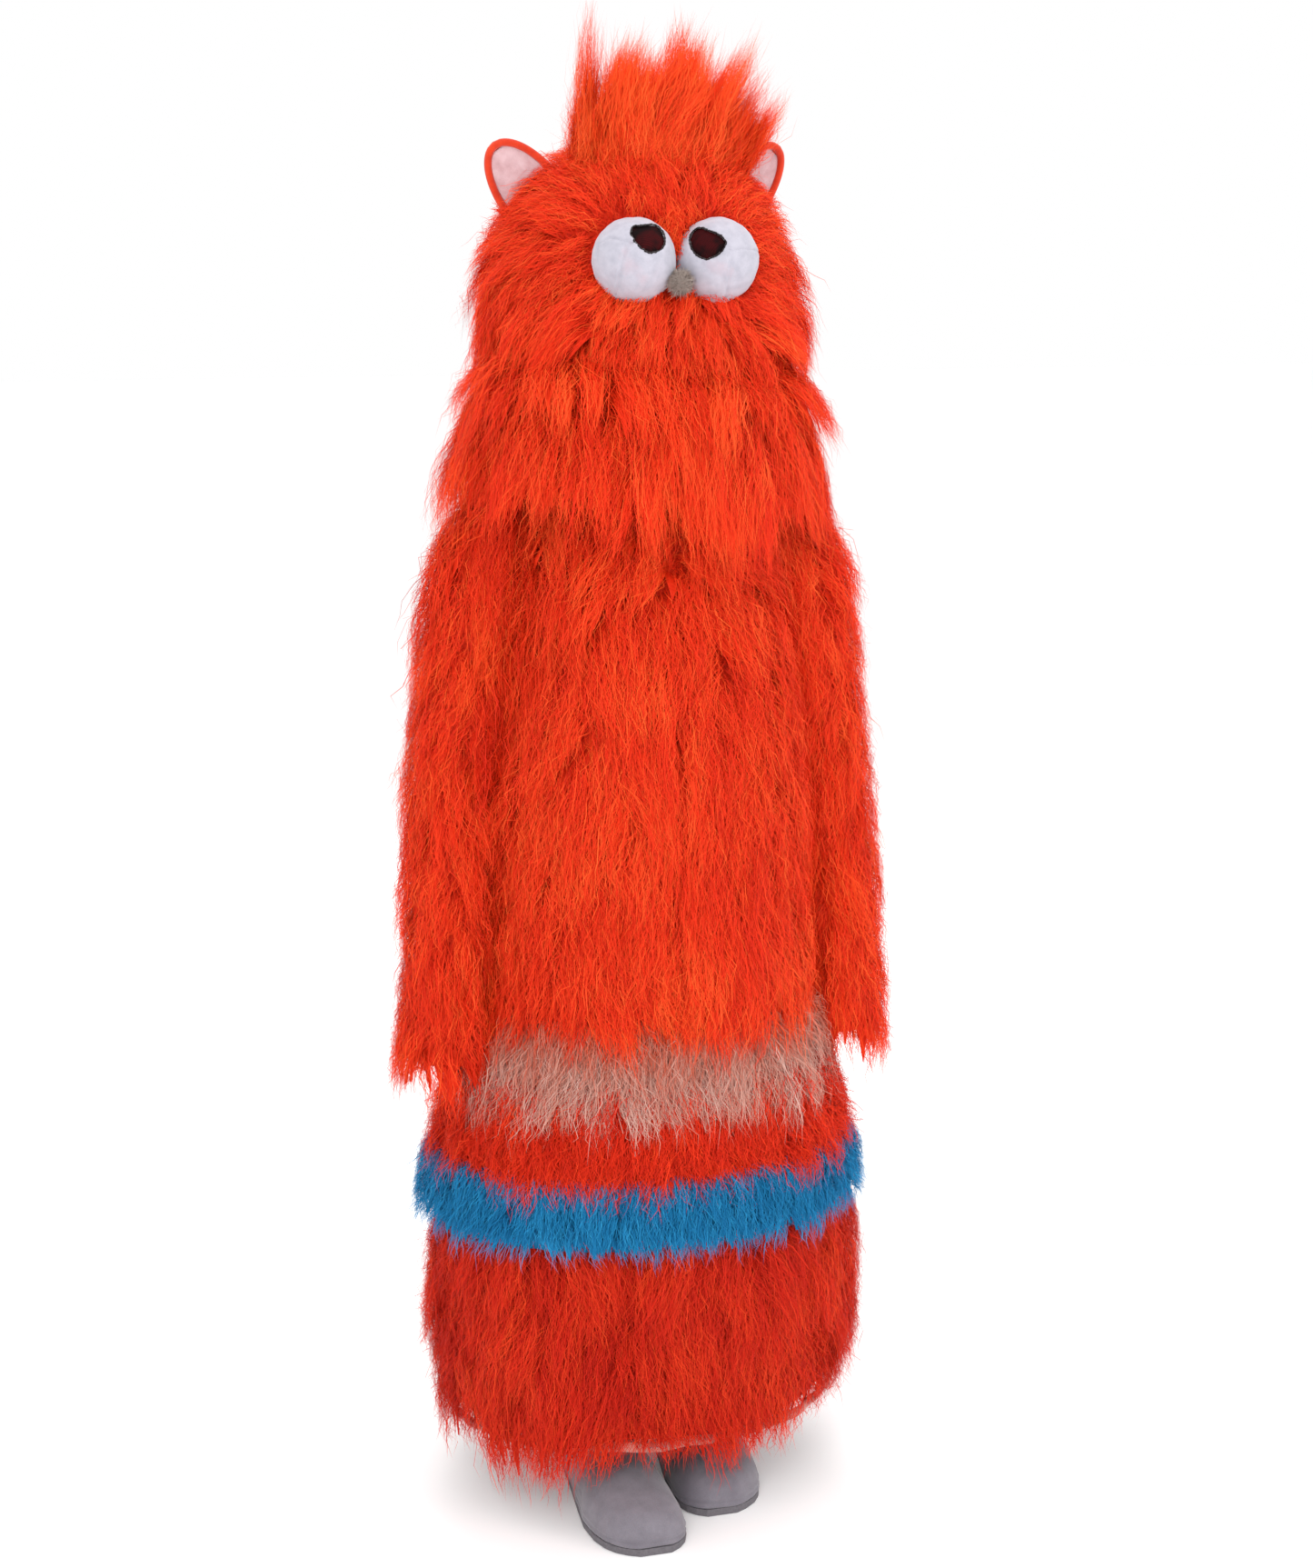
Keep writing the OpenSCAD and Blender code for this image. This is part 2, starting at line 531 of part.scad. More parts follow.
// shoe sections: distance from the heel, width, height, shift towards the big toe
shoe = [[0, 44, 40, 0], [12, 68, 66, 0], [40, 82, 84, 0], [75, 88, 84, 0], [112, 95, 78, 0],
  [155, 106, 66, 1], [200, 116, 56, 2], [240, 112, 49, 5], [268, 90, 41, 9], [284, 58, 30, 12], [290, 34, 20, 13]];
function shoe_x(s, i, k) = s * foot_x - s * shoe[i][3] + k * shoe[i][1] / 2;
function shoe_y(s, i) = ankle_y(s) + 75 - shoe[i][0];
function section(s, i, n, g) = let (w = max(6, shoe[i][1] / 2 - g), h = max(6, shoe[i][2] - g))
  [for (k = [0:n]) let (th = 180 * k / n)
    [s * foot_x - s * shoe[i][3] + w * sp(cos(th), 2.5), shoe_y(s, i) + (i == 0 ? -g : i == 10 ? g : 0), sole_t + 0.4 + h * sp(sin(th), 2.5)]];
module shoe_body(s, g) {
  n = 14;
  w = n + 1;
  m = len(shoe);
  pts = flat1([for (i = [0:m - 1]) section(s, i, n, g)]);
  faces = concat(
    flat1([for (i = [0:m - 2]) for (k = [0:n - 1]) let (a = i * w + k, b = a + 1, c = a + w, d = c + 1)
      [[a, c, d], [a, d, b]]]),
    flat1([for (i = [0:m - 2]) let (a = i * w, b = i * w + n, c = a + w, d = b + w) [[a, b, d], [a, d, c]]]),
    [[for (k = [0:n]) k]],
    [[for (k = [n:-1:0]) (m - 1) * w + k]]);
  polyhedron(pts, faces, convexity = 4);
}
module shoe_upper(s) {
  color(grey) difference() {
    shoe_body(s, 0);
    translate([0, 0, 1]) shoe_body(s, 5);
    translate([s * foot_x, ankle_y(s), 60]) cylinder(h = 60, r = 36, $fn = 40);
  }
}
module shoe_sole(s) {
  m = len(shoe);
  color([0.2, 0.2, 0.21]) linear_extrude(sole_t) polygon(concat(
    [for (i = [0:m - 1]) [shoe_x(s, i, -1), shoe_y(s, i)]],
    [for (i = [m - 1:-1:0]) [shoe_x(s, i, 1), shoe_y(s, i)]]));
}

module placed() { translate([0, y_shift, 0]) children(); }
placed() tunic_front_panel();
placed() tunic_back_left_panel();
placed() tunic_back_right_panel();
placed() beige_fur_band();
placed() tunic_hem_band();
placed() blue_fur_band();
placed() skirt_front_panel();
placed() skirt_back_panel();
placed() hem_binding();
placed() zipper_chain();
placed() zipper_slider();
placed() zipper_pull();
placed() hoop(hoops[0]);  // hoop_chest
placed() hoop(hoops[1]);  // hoop_waist
placed() hoop(hoops[2]);  // hoop_band
placed() hoop(hoops[3]);  // hoop_hem
placed() hoop_tapes();
placed() harness_pads();
placed() harness_straps();
placed() waist_belt();
placed() belt_buckle();
placed() trouser_seat();
placed() mane_cape();
placed() mane_collar();
placed() neck_gaiter();
placed() head_shell();
placed() head_fur();
placed() forehead_tuft();
placed() eye_dome(1);  // eye_dome_left
placed() eye_dome(-1);  // eye_dome_right
placed() pupil_mesh(1);  // pupil_mesh_left
placed() pupil_mesh(-1);  // pupil_mesh_right
placed() nose_ball();
placed() ear(1);  // ear_left
placed() ear(-1);  // ear_right
placed() ear_lining(1);  // ear_lining_left
placed() ear_lining(-1);  // ear_lining_right
placed() headband();
placed() crown_straps();
placed() foam_spacers();
placed() upper_mouth_plate();
placed() jaw_hinge_brackets();
placed() jaw_hinge_pins();
placed() jaw_elastics();
placed() jaw_plate();
placed() jaw_shell();
placed() jaw_fur();
placed() chin_cup();
placed() shoulder_pad(1);  // shoulder_pad_left
placed() shoulder_pad(-1);  // shoulder_pad_right
placed() upper_sleeve(1);  // upper_sleeve_left
placed() upper_sleeve(-1);  // upper_sleeve_right
placed() lower_sleeve(1);  // lower_sleeve_left
placed() lower_sleeve(-1);  // lower_sleeve_right
placed() leg_cover(1);  // leg_cover_left
placed() leg_cover(-1);  // leg_cover_right
placed() shoe_upper(1);  // shoe_upper_left
placed() shoe_upper(-1);  // shoe_upper_right
placed() shoe_sole(1);  // shoe_sole_left
placed() shoe_sole(-1);  // shoe_sole_right
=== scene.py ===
import bpy, bmesh, math
import numpy as np
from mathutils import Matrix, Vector, kdtree
from mathutils.geometry import delaunay_2d_cdt


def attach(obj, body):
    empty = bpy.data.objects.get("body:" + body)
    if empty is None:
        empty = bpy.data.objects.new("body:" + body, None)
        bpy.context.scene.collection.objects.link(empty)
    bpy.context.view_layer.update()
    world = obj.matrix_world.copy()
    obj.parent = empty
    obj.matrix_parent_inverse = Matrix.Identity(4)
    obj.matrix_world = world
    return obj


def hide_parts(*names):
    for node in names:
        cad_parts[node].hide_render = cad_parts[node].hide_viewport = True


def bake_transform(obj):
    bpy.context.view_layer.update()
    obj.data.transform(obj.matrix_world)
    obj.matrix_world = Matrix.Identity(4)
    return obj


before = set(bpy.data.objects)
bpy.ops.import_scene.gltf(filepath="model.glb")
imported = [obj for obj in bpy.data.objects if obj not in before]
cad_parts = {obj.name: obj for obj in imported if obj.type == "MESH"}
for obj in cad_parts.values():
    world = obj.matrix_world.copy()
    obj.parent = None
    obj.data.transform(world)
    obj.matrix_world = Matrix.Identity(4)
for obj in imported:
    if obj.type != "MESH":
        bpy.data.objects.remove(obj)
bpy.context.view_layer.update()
Y = 0.0285                      # the frame's origin is this far in front of the body's axis
PI = math.pi

# ------------------------------------------------------------------ camera, light, floor
scene = bpy.context.scene
scene.view_settings.view_transform = "Standard"
cam_data = bpy.data.cameras.new("camera")
cam_data.lens, cam_data.sensor_width, cam_data.sensor_fit = 58.43, 36.0, "AUTO"
cam_data.clip_end = 60
cam = bpy.data.objects.new("camera", cam_data)
scene.collection.objects.link(cam)
cam.location = (-0.868, -3.028 + Y, 1.575)
az, pitch = math.radians(16 + 0.38), math.radians(-11.8)
fwd = Vector((math.sin(az) * math.cos(pitch), math.cos(az) * math.cos(pitch), math.sin(pitch)))
cam.rotation_euler = fwd.to_track_quat("-Z", "Y").to_euler()
scene.camera = cam

world = bpy.data.worlds.new("studio")
scene.world = world
world.use_nodes = True
world.node_tree.nodes["Background"].inputs[0].default_value = (1.0, 1.0, 1.0, 1)
world.node_tree.nodes["Background"].inputs[1].default_value = 1.0


def area_light(name, loc, target, size, power, color=(1, 1, 1)):
    d = bpy.data.lights.new(name, "AREA")
    d.shape, d.size, d.size_y, d.energy, d.color = "RECTANGLE", size[0], size[1], power, color
    o = bpy.data.objects.new(name, d)
    scene.collection.objects.link(o)
    o.location = loc
    o.rotation_euler = (Vector(target) - Vector(loc)).to_track_quat("-Z", "Y").to_euler()
    return o


area_light("key", (-1.6, -3.6, 3.0), (0, 0, 1.0), (1.8, 2.2), 70)
area_light("fill", (2.8, -2.6, 1.7), (0, 0, 0.9), (1.6, 2.2), 32)
area_light("top", (0.2, 0.4, 4.2), (0, 0, 1.0), (2.4, 2.4), 34)
area_light("back", (0.6, 3.4, 2.6), (0, 0, 1.0), (2.0, 2.0), 34)


def new_mesh(name, verts, faces):
    me = bpy.data.meshes.new(name)
    me.from_pydata([tuple(v) for v in verts], [], [tuple(f) for f in faces])
    me.update()
    o = bpy.data.objects.new(name, me)
    scene.collection.objects.link(o)
    return o


def smooth(o, on=True):
    o.data.polygons.foreach_set("use_smooth", np.full(len(o.data.polygons), on))
    o.data.update()
    return o


# ------------------------------------------------------------------ materials
def lin(c):
    return tuple((x / 12.92 if x <= 0.04045 else ((x + 0.055) / 1.055) ** 2.4) for x in c)


def rgb(r, g, b):
    return lin((r / 255, g / 255, b / 255)) + (1.0,)


def material(name, rough=0.8, **sockets):
    m = bpy.data.materials.new(name)
    m.use_nodes = True
    p = m.node_tree.nodes["Principled BSDF"]
    p.inputs["Roughness"].default_value = rough
    for k, v in sockets.items():
        p.inputs[k.replace("_", " ")].default_value = v
    return m, m.node_tree, p


def ramp(nt, stops, fac):
    r = nt.nodes.new("ShaderNodeValToRGB")
    while len(r.color_ramp.elements) > 1:
        r.color_ramp.elements.remove(r.color_ramp.elements[-1])
    r.color_ramp.elements[0].position, r.color_ramp.elements[0].color = stops[0]
    for p, c in stops[1:]:
        e = r.color_ramp.elements.new(p)
        e.color = c
    nt.links.new(fac, r.inputs[0])
    return r.outputs[0]


def fur_material(name, root_shade, mid_shade, tip_dark, tip, tip_light):
    """Colour runs along each fibre by the map's V, darker towards the root as painted shade for the gaps between the
    locks, and differs from fibre to fibre by its U.
    """
    m, nt, p = material(name, rough=0.62)
    p.inputs["Specular IOR Level"].default_value = 0.15
    p.inputs["Sheen Weight"].default_value = 0.12
    p.inputs["Sheen Roughness"].default_value = 0.45
    p.inputs["Sheen Tint"].default_value = tip_light
    uv = nt.nodes.new("ShaderNodeUVMap")
    uv.uv_map = "OFBake"
    sep = nt.nodes.new("ShaderNodeSeparateXYZ")
    nt.links.new(uv.outputs[0], sep.inputs[0])
    strand = ramp(nt, [(0.0, tip_dark), (0.5, tip), (1.0, tip_light)], sep.outputs[0])
    # root_shade and mid_shade are painted shade: the darker colours near the roots stand in for the shade between the
    # locks
    under = ramp(nt, [(0.0, root_shade), (0.8, mid_shade)], sep.outputs[0])
    mixer = nt.nodes.new("ShaderNodeMix")
    mixer.data_type = "RGBA"
    along = nt.nodes.new("ShaderNodeMapRange")
    along.inputs["From Min"].default_value, along.inputs["From Max"].default_value = 0.02, 0.45
    along.interpolation_type = "SMOOTHSTEP"
    nt.links.new(sep.outputs[1], along.inputs["Value"])
    nt.links.new(along.outputs[0], mixer.inputs[0])
    nt.links.new(under, mixer.inputs[6])
    nt.links.new(strand, mixer.inputs[7])
    nt.links.new(mixer.outputs[2], p.inputs["Base Color"])
    return m


# per fur: two darker root colours, painted shade between the locks, then three tip colours that differ from fibre to
# fibre at random
FUR = {
    "orange": fur_material("fur_orange", rgb(186, 27, 8), rgb(216, 42, 13), rgb(204, 31, 9), rgb(238, 53, 16), rgb(255, 106, 44)),
    "skirt": fur_material("fur_skirt", rgb(150, 16, 5), rgb(186, 26, 8), rgb(174, 21, 6), rgb(212, 34, 10), rgb(244, 78, 30)),
    "beige": fur_material("fur_beige", rgb(198, 96, 70), rgb(206, 140, 120), rgb(200, 84, 56), rgb(204, 148, 132), rgb(222, 184, 173)),
    "blue": fur_material("fur_blue", rgb(10, 72, 112), rgb(16, 100, 148), rgb(12, 92, 140), rgb(18, 121, 174), rgb(52, 160, 208)),
    "rim": fur_material("felt_rim", rgb(170, 34, 12), rgb(190, 44, 18), rgb(196, 46, 18), rgb(212, 58, 24), rgb(226, 76, 38)),
    "grey": fur_material("felt_grey", rgb(120, 106, 100), rgb(140, 126, 118), rgb(138, 124, 117), rgb(156, 142, 134), rgb(176, 163, 154)),
}


def cloth(name, c0, c1, scale, bump, rough=0.85, weave=0.0, spots=None, dist=0.0006):
    """Cloth: two mixed tones by noise, a fine nap or weave in the bump."""
    m, nt, p = material(name, rough=rough)
    p.inputs["Specular IOR Level"].default_value = 0.2
    p.inputs["Sheen Weight"].default_value = 0.3
    p.inputs["Sheen Roughness"].default_value = 0.5
    co = nt.nodes.new("ShaderNodeTexCoord")
    n1 = nt.nodes.new("ShaderNodeTexNoise")
    n1.inputs["Scale"].default_value, n1.inputs["Detail"].default_value = scale * 0.06, 4
    nt.links.new(co.outputs["Object"], n1.inputs["Vector"])
    n2 = nt.nodes.new("ShaderNodeTexNoise")
    n2.inputs["Scale"].default_value, n2.inputs["Detail"].default_value = scale, 3
    nt.links.new(co.outputs["Object"], n2.inputs["Vector"])
    mx = nt.nodes.new("ShaderNodeMath")
    mx.operation = "MULTIPLY_ADD"
    nt.links.new(n2.outputs[0], mx.inputs[0])
    mx.inputs[1].default_value = 0.45
    half = nt.nodes.new("ShaderNodeMath")
    half.operation = "MULTIPLY"
    half.inputs[1].default_value = 0.6
    nt.links.new(n1.outputs[0], half.inputs[0])
    nt.links.new(half.outputs[0], mx.inputs[2])
    col = ramp(nt, [(0.36, c0), (0.66, c1)], mx.outputs[0])
    if spots:
        n3 = nt.nodes.new("ShaderNodeTexNoise")
        n3.inputs["Scale"].default_value, n3.inputs["Detail"].default_value = spots[1], 6
        nt.links.new(co.outputs["Object"], n3.inputs["Vector"])
        f = ramp(nt, [(spots[2], (0, 0, 0, 1)), (spots[3], (1, 1, 1, 1))], n3.outputs[0])
        mm = nt.nodes.new("ShaderNodeMix")
        mm.data_type = "RGBA"
        nt.links.new(f, mm.inputs[0])
        nt.links.new(col, mm.inputs[6])
        mm.inputs[7].default_value = spots[0]
        col = mm.outputs[2]
    nt.links.new(col, p.inputs["Base Color"])
    b = nt.nodes.new("ShaderNodeBump")
    b.inputs["Strength"].default_value, b.inputs["Distance"].default_value = bump, dist
    h = n2.outputs[0]
    if weave:
        w1 = nt.nodes.new("ShaderNodeTexWave")
        w1.inputs["Scale"].default_value = weave
        w1.bands_direction = "X"
        w2 = nt.nodes.new("ShaderNodeTexWave")
        w2.inputs["Scale"].default_value = weave
        w2.bands_direction = "Z"
        nt.links.new(co.outputs["Object"], w1.inputs["Vector"])
        nt.links.new(co.outputs["Object"], w2.inputs["Vector"])
        mu = nt.nodes.new("ShaderNodeMath")
        mu.operation = "MULTIPLY"
        nt.links.new(w1.outputs[1], mu.inputs[0])
        nt.links.new(w2.outputs[1], mu.inputs[1])
        ad = nt.nodes.new("ShaderNodeMath")
        nt.links.new(mu.outputs[0], ad.inputs[0])
        nt.links.new(n2.outputs[0], ad.inputs[1])
        h = ad.outputs[0]
    nt.links.new(h, b.inputs["Height"])
    nt.links.new(b.outputs[0], p.inputs["Normal"])
    return m


def hard(name, c0, c1, rough0, rough1, metal=0.0, scale=180, bump=0.05):
    m, nt, p = material(name)
    p.inputs["Metallic"].default_value = metal
    co = nt.nodes.new("ShaderNodeTexCoord")
    n = nt.nodes.new("ShaderNodeTexNoise")
    n.inputs["Scale"].default_value, n.inputs["Detail"].default_value = scale, 5
    nt.links.new(co.outputs["Object"], n.inputs["Vector"])
    nt.links.new(ramp(nt, [(0.35, c0), (0.65, c1)], n.outputs[0]), p.inputs["Base Color"])
    mr = nt.nodes.new("ShaderNodeMapRange")
    mr.inputs["To Min"].default_value, mr.inputs["To Max"].default_value = rough0, rough1
    nt.links.new(n.outputs[0], mr.inputs["Value"])
    nt.links.new(mr.outputs[0], p.inputs["Roughness"])
    b = nt.nodes.new("ShaderNodeBump")
    b.inputs["Strength"].default_value, b.inputs["Distance"].default_value = bump, 0.0003
    nt.links.new(n.outputs[0], b.inputs["Height"])
    nt.links.new(b.outputs[0], p.inputs["Normal"])
    return m


M = {
    "fleece": cloth("white_fleece", rgb(165, 163, 175), rgb(186, 183, 194), 1500, 0.35, spots=(rgb(186, 164, 174), 26, 0.60, 0.84)),
    "ear_cloth": cloth("ear_lining_cloth", rgb(196, 160, 164), rgb(222, 196, 200), 1300, 0.4),
    "suede": cloth("shoe_suede", rgb(110, 105, 113), rgb(128, 123, 131), 900, 0.35, spots=(rgb(104, 98, 108), 14, 0.5, 0.8)),
    "seam_grey": cloth("seam_thread", rgb(150, 143, 156), rgb(170, 162, 175), 2200, 0.2),
    "shoe_seam": cloth("shoe_seam_thread", rgb(92, 87, 97), rgb(110, 104, 114), 2200, 0.2),
    "black_edge": cloth("cut_edge", rgb(14, 8, 9), rgb(34, 18, 20), 2600, 0.3),
    "lining": cloth("robe_lining", rgb(150, 40, 22), rgb(176, 56, 32), 700, 0.3, weave=240),
    "binding": cloth("hem_tape", rgb(206, 132, 118), rgb(222, 160, 146), 1800, 0.4, weave=500),
    "webbing": cloth("black_webbing", rgb(24, 24, 27), rgb(40, 40, 44), 1200, 0.6, weave=300),
    "foam": cloth("dark_foam", rgb(44, 44, 50), rgb(66, 66, 72), 1600, 0.7),
    "mouth": cloth("mouth_cloth", rgb(66, 10, 12), rgb(92, 18, 20), 1400, 0.4),
    "elastic": cloth("covered_elastic", rgb(22, 22, 24), rgb(44, 44, 47), 2400, 0.5),
    "boning": hard("sprung_boning", rgb(226, 220, 204), rgb(238, 233, 220), 0.35, 0.5),
    "plastic": hard("moulded_plastic", rgb(20, 20, 22), rgb(32, 32, 35), 0.25, 0.45),
    "coil": cloth("zip_coil", rgb(150, 34, 16), rgb(176, 46, 24), 420, 0.25, rough=0.7),
    "zip": hard("zip_metal", rgb(176, 172, 164), rgb(206, 202, 195), 0.25, 0.45, metal=1.0),
    "steel": hard("pin_steel", rgb(170, 172, 176), rgb(196, 198, 202), 0.25, 0.4, metal=1.0),
    "sole": hard("sole_rubber", rgb(92, 88, 93), rgb(108, 103, 108), 0.7, 0.9, scale=400, bump=0.3),
}
# see-through mesh behind the pupils: a fine net in dark red, its holes painted with the shade inside the head
mm_, nt_, p_ = material("pupil_net", rough=0.8)
p_.inputs["Specular IOR Level"].default_value = 0.1
co_ = nt_.nodes.new("ShaderNodeTexCoord")
vo_ = nt_.nodes.new("ShaderNodeTexVoronoi")
vo_.inputs["Scale"].default_value, vo_.inputs["Randomness"].default_value = 780, 0.15
nt_.links.new(co_.outputs["Object"], vo_.inputs["Vector"])
no_ = nt_.nodes.new("ShaderNodeTexNoise")
no_.inputs["Scale"].default_value = 45
nt_.links.new(co_.outputs["Object"], no_.inputs["Vector"])
red_ = ramp(nt_, [(0.42, rgb(20, 3, 5)), (0.62, rgb(62, 5, 9))], no_.outputs[0])
# darker cell centres: painted shade, the dark inside of the head seen through the net's holes
hole_shade_ = ramp(nt_, [(0.25, (0.25, 0.25, 0.25, 1)), (0.6, (1, 1, 1, 1))], vo_.outputs["Distance"])
mix_ = nt_.nodes.new("ShaderNodeMix")
mix_.data_type, mix_.blend_type = "RGBA", "MULTIPLY"
mix_.inputs[0].default_value = 1.0
nt_.links.new(red_, mix_.inputs[6])
nt_.links.new(hole_shade_, mix_.inputs[7])
nt_.links.new(mix_.outputs[2], p_.inputs["Base Color"])
M["net"] = mm_


def dress(o, m):
    o.data.materials.clear()
    o.data.materials.append(m)
    return o


# floor
fm, fnt, fp = material("floor_pale", rough=0.9)
fco = fnt.nodes.new("ShaderNodeTexCoord")
fn = fnt.nodes.new("ShaderNodeTexNoise")
fn.inputs["Scale"].default_value = 3
fnt.links.new(fco.outputs["Object"], fn.inputs["Vector"])
fnt.links.new(ramp(fnt, [(0.3, (0.93, 0.93, 0.93, 1)), (0.7, (0.95, 0.95, 0.95, 1))], fn.outputs[0]), fp.inputs["Base Color"])
fp.inputs["Emission Color"].default_value = (1, 1, 1, 1)
fp.inputs["Emission Strength"].default_value = 0.07
floor = new_mesh("floor", [(-30, -30, 0), (30, -30, 0), (30, 30, 0), (-30, 30, 0)], [(0, 1, 2, 3)])
dress(floor, fm)


# ------------------------------------------------------------------ surfaces that the pile grows on
def spw(v, e):
    return np.sign(v) * np.abs(v) ** (2.0 / e)


class Rings:
    """A lofted surface: rings of [z, half width, front depth, back depth], superellipses of power e."""

    def __init__(self, table, e=2.0, inset=0.0):
        t = np.array(table, float)
        self.z, self.a, self.f, self.b, self.e = t[:, 0], t[:, 1] - inset, t[:, 2] - inset, t[:, 3] - inset, e

    def at(self, th, z):
        a, f, b = (np.interp(z, self.z, x) for x in (self.a, self.f, self.b))
        s = np.sin(th)
        return np.stack([a * spw(np.cos(th), self.e), np.where(s < 0, f, b) * spw(s, self.e), z], -1)

    def frame(self, th, z):
        d = 1e-3
        p = self.at(th, z)
        dz = np.minimum(np.maximum(z, self.z[0] + 0.004), self.z[-1] - 0.004)
        pz = (self.at(th, dz + 0.004) - self.at(th, dz - 0.004))
        pt = self.at(th + d, z) - self.at(th - d, z)
        pt /= np.linalg.norm(pt, axis=-1, keepdims=True) + 1e-12
        pz /= np.linalg.norm(pz, axis=-1, keepdims=True) + 1e-12
        n = np.cross(pt, pz)
        n /= np.linalg.norm(n, axis=-1, keepdims=True) + 1e-12
        return p, n, -pz

    def rows(self, z0, z1, n=None):
        """Heights evenly spaced along the surface, or the table to place them by."""
        zz = np.linspace(z0, z1, 400)
        a, f, b = (np.interp(zz, self.z, x) for x in (self.a, self.f, self.b))
        s = np.concatenate([[0], np.cumsum(np.hypot(np.diff((a + (f + b) / 2) / 2), np.diff(zz)))])
        return (s, zz) if n is None else np.interp(np.linspace(0, s[-1], n), s, zz)

    def length_table(self, z, n=720):
        th = np.linspace(0, 2 * PI, n + 1)
        p = self.at(th, np.full(n + 1, z))
        s = np.concatenate([[0], np.cumsum(np.linalg.norm(np.diff(p, axis=0), axis=1))])
        return th, s


class Tube:
    """A sleeve: a tube round a smooth line, of radius r along it."""

    def __init__(self, pts, radii):
        self.p = np.array(pts, float)
        d = np.linalg.norm(np.diff(self.p, axis=0), axis=1)
        self.s = np.concatenate([[0], np.cumsum(d)])
        self.r = np.array(radii, float)
        self.len = self.s[-1]

    def line(self, s):
        return np.stack([np.interp(s, self.s, self.p[:, i]) for i in range(3)], -1)

    def frame(self, th, s):
        c = self.line(s)
        t = self.line(np.minimum(s + 0.03, self.len)) - self.line(np.maximum(s - 0.03, 0))
        t /= np.linalg.norm(t, axis=-1, keepdims=True)
        x = np.cross(np.broadcast_to([0.0, -1.0, 0.0], t.shape), t)
        x /= np.linalg.norm(x, axis=-1, keepdims=True)
        y = np.cross(t, x)
        n = np.cos(th)[..., None] * x + np.sin(th)[..., None] * y
        return c + np.interp(s, self.s, self.r)[..., None] * n, n, t


# ------------------------------------------------------------------ pile
def unit(v):
    return v / (np.linalg.norm(v, axis=-1, keepdims=True) + 1e-12)


def ring_samples(surf, z0, z1, sx, sz, rng, th0=0.0, th1=2 * PI, jitter=0.5):
    """Jittered samples over a ring surface, about sx apart round it and sz apart down it."""
    out = []
    sr, zr = surf.rows(z0, z1)
    rows = max(1, int(round(sr[-1] / sz)))
    for i in range(rows):
        z = np.interp((i + 0.5) / rows * sr[-1], sr, zr)
        th, s = surf.length_table(z)
        a, b = np.interp([th0, th1], th, s) if th0 >= 0 else (np.interp(th0 + 2 * PI, th, s) - s[-1], np.interp(th1, th, s))
        n = max(1, int(round((b - a) / sx)))
        u = a + (np.arange(n) + 0.5 * (i % 2) + rng.uniform(-jitter, jitter, n)) * (b - a) / n
        zz = np.interp((i + 0.5 + rng.uniform(-jitter, jitter, n)) / rows * sr[-1], sr, zr)
        out.append(np.stack([np.interp(u % s[-1], s, th), zz], -1))
    return np.concatenate(out)


def tube_samples(surf, s0, s1, sx, sz, rng, jitter=0.5):
    out = []
    rows = max(1, int(round((s1 - s0) / sz)))
    for i in range(rows):
        s = s0 + (i + 0.5) * (s1 - s0) / rows
        n = max(3, int(round(2 * PI * np.interp(s, surf.s, surf.r) / sx)))
        th = (np.arange(n) + 0.5 * (i % 2) + rng.uniform(-jitter, jitter, n)) * 2 * PI / n
        out.append(np.stack([th, s + rng.uniform(-jitter, jitter, n) * (s1 - s0) / rows], -1))
    return np.concatenate(out)


def nearest(points, queries, rng, ragged):
    tree = kdtree.KDTree(len(points))
    for i, p in enumerate(points):
        tree.insert(p, i)
    tree.balance()
    q = queries + rng.normal(0, ragged, queries.shape)
    find = tree.find
    return np.fromiter((find(v)[1] for v in q.tolist()), np.int64, len(q))


def guides(p, n, d, L, lift, rng, K, grav, wave, a0=1.05, flare=0.0, hold=4.2):
    """Lock centre lines: they leave the skin along the normal, lie down along the comb and hang."""
    m = len(p)
    t = np.linspace(0, 1, K)
    side = np.cross(n, d)
    flow = np.sin(p[:, 0] * 31 + p[:, 2] * 17 + p[:, 1] * 12) + np.sin(p[:, 2] * 43 - p[:, 0] * 19 + 1.7)
    turn = rng.normal(0, wave[0] * 0.55, m) + flow * wave[0] * 0.75
    fr, ph, am = rng.uniform(0.5, 1.3, m), rng.uniform(0, 2 * PI, m), rng.uniform(0.3, 1.0, m) * wave[1]
    ang = a0 * np.exp(-t[None, :] * hold) * lift[:, None] + flare * t[None, :] * rng.uniform(-0.3, 1.0, (m, 1)) - 0.10 * t[None, :]
    w = am[:, None] * np.sin(2 * PI * (fr[:, None] * t[None, :]) + ph[:, None]) + turn[:, None]
    dirs = (np.cos(ang)[..., None] * d[:, None, :] + np.sin(ang)[..., None] * n[:, None, :] + w[..., None] * side[:, None, :])
    dirs = unit(dirs)
    g = (np.clip(t * grav, 0, 1))[None, :, None]
    dirs = unit(dirs * (1 - g) + np.array([0, 0, -1.0]) * g)
    step = (L / (K - 1))[:, None, None] * dirs
    pos = np.concatenate([np.zeros((m, 1, 3)), np.cumsum(step[:, :-1], axis=1)], axis=1)
    return pos                  # from the root, (m, K, 3)


def along_curve(g, q):
    """g (n, K, 3) read at t*q for each row."""
    n, K, _ = g.shape
    x = np.linspace(0, 1, K)[None, :] * q[:, None] * (K - 1)
    i = np.clip(x.astype(int), 0, K - 2)
    f = (x - i)[..., None]
    r = np.arange(n)[:, None]
    return g[r, i] * (1 - f) + g[r, i + 1] * f


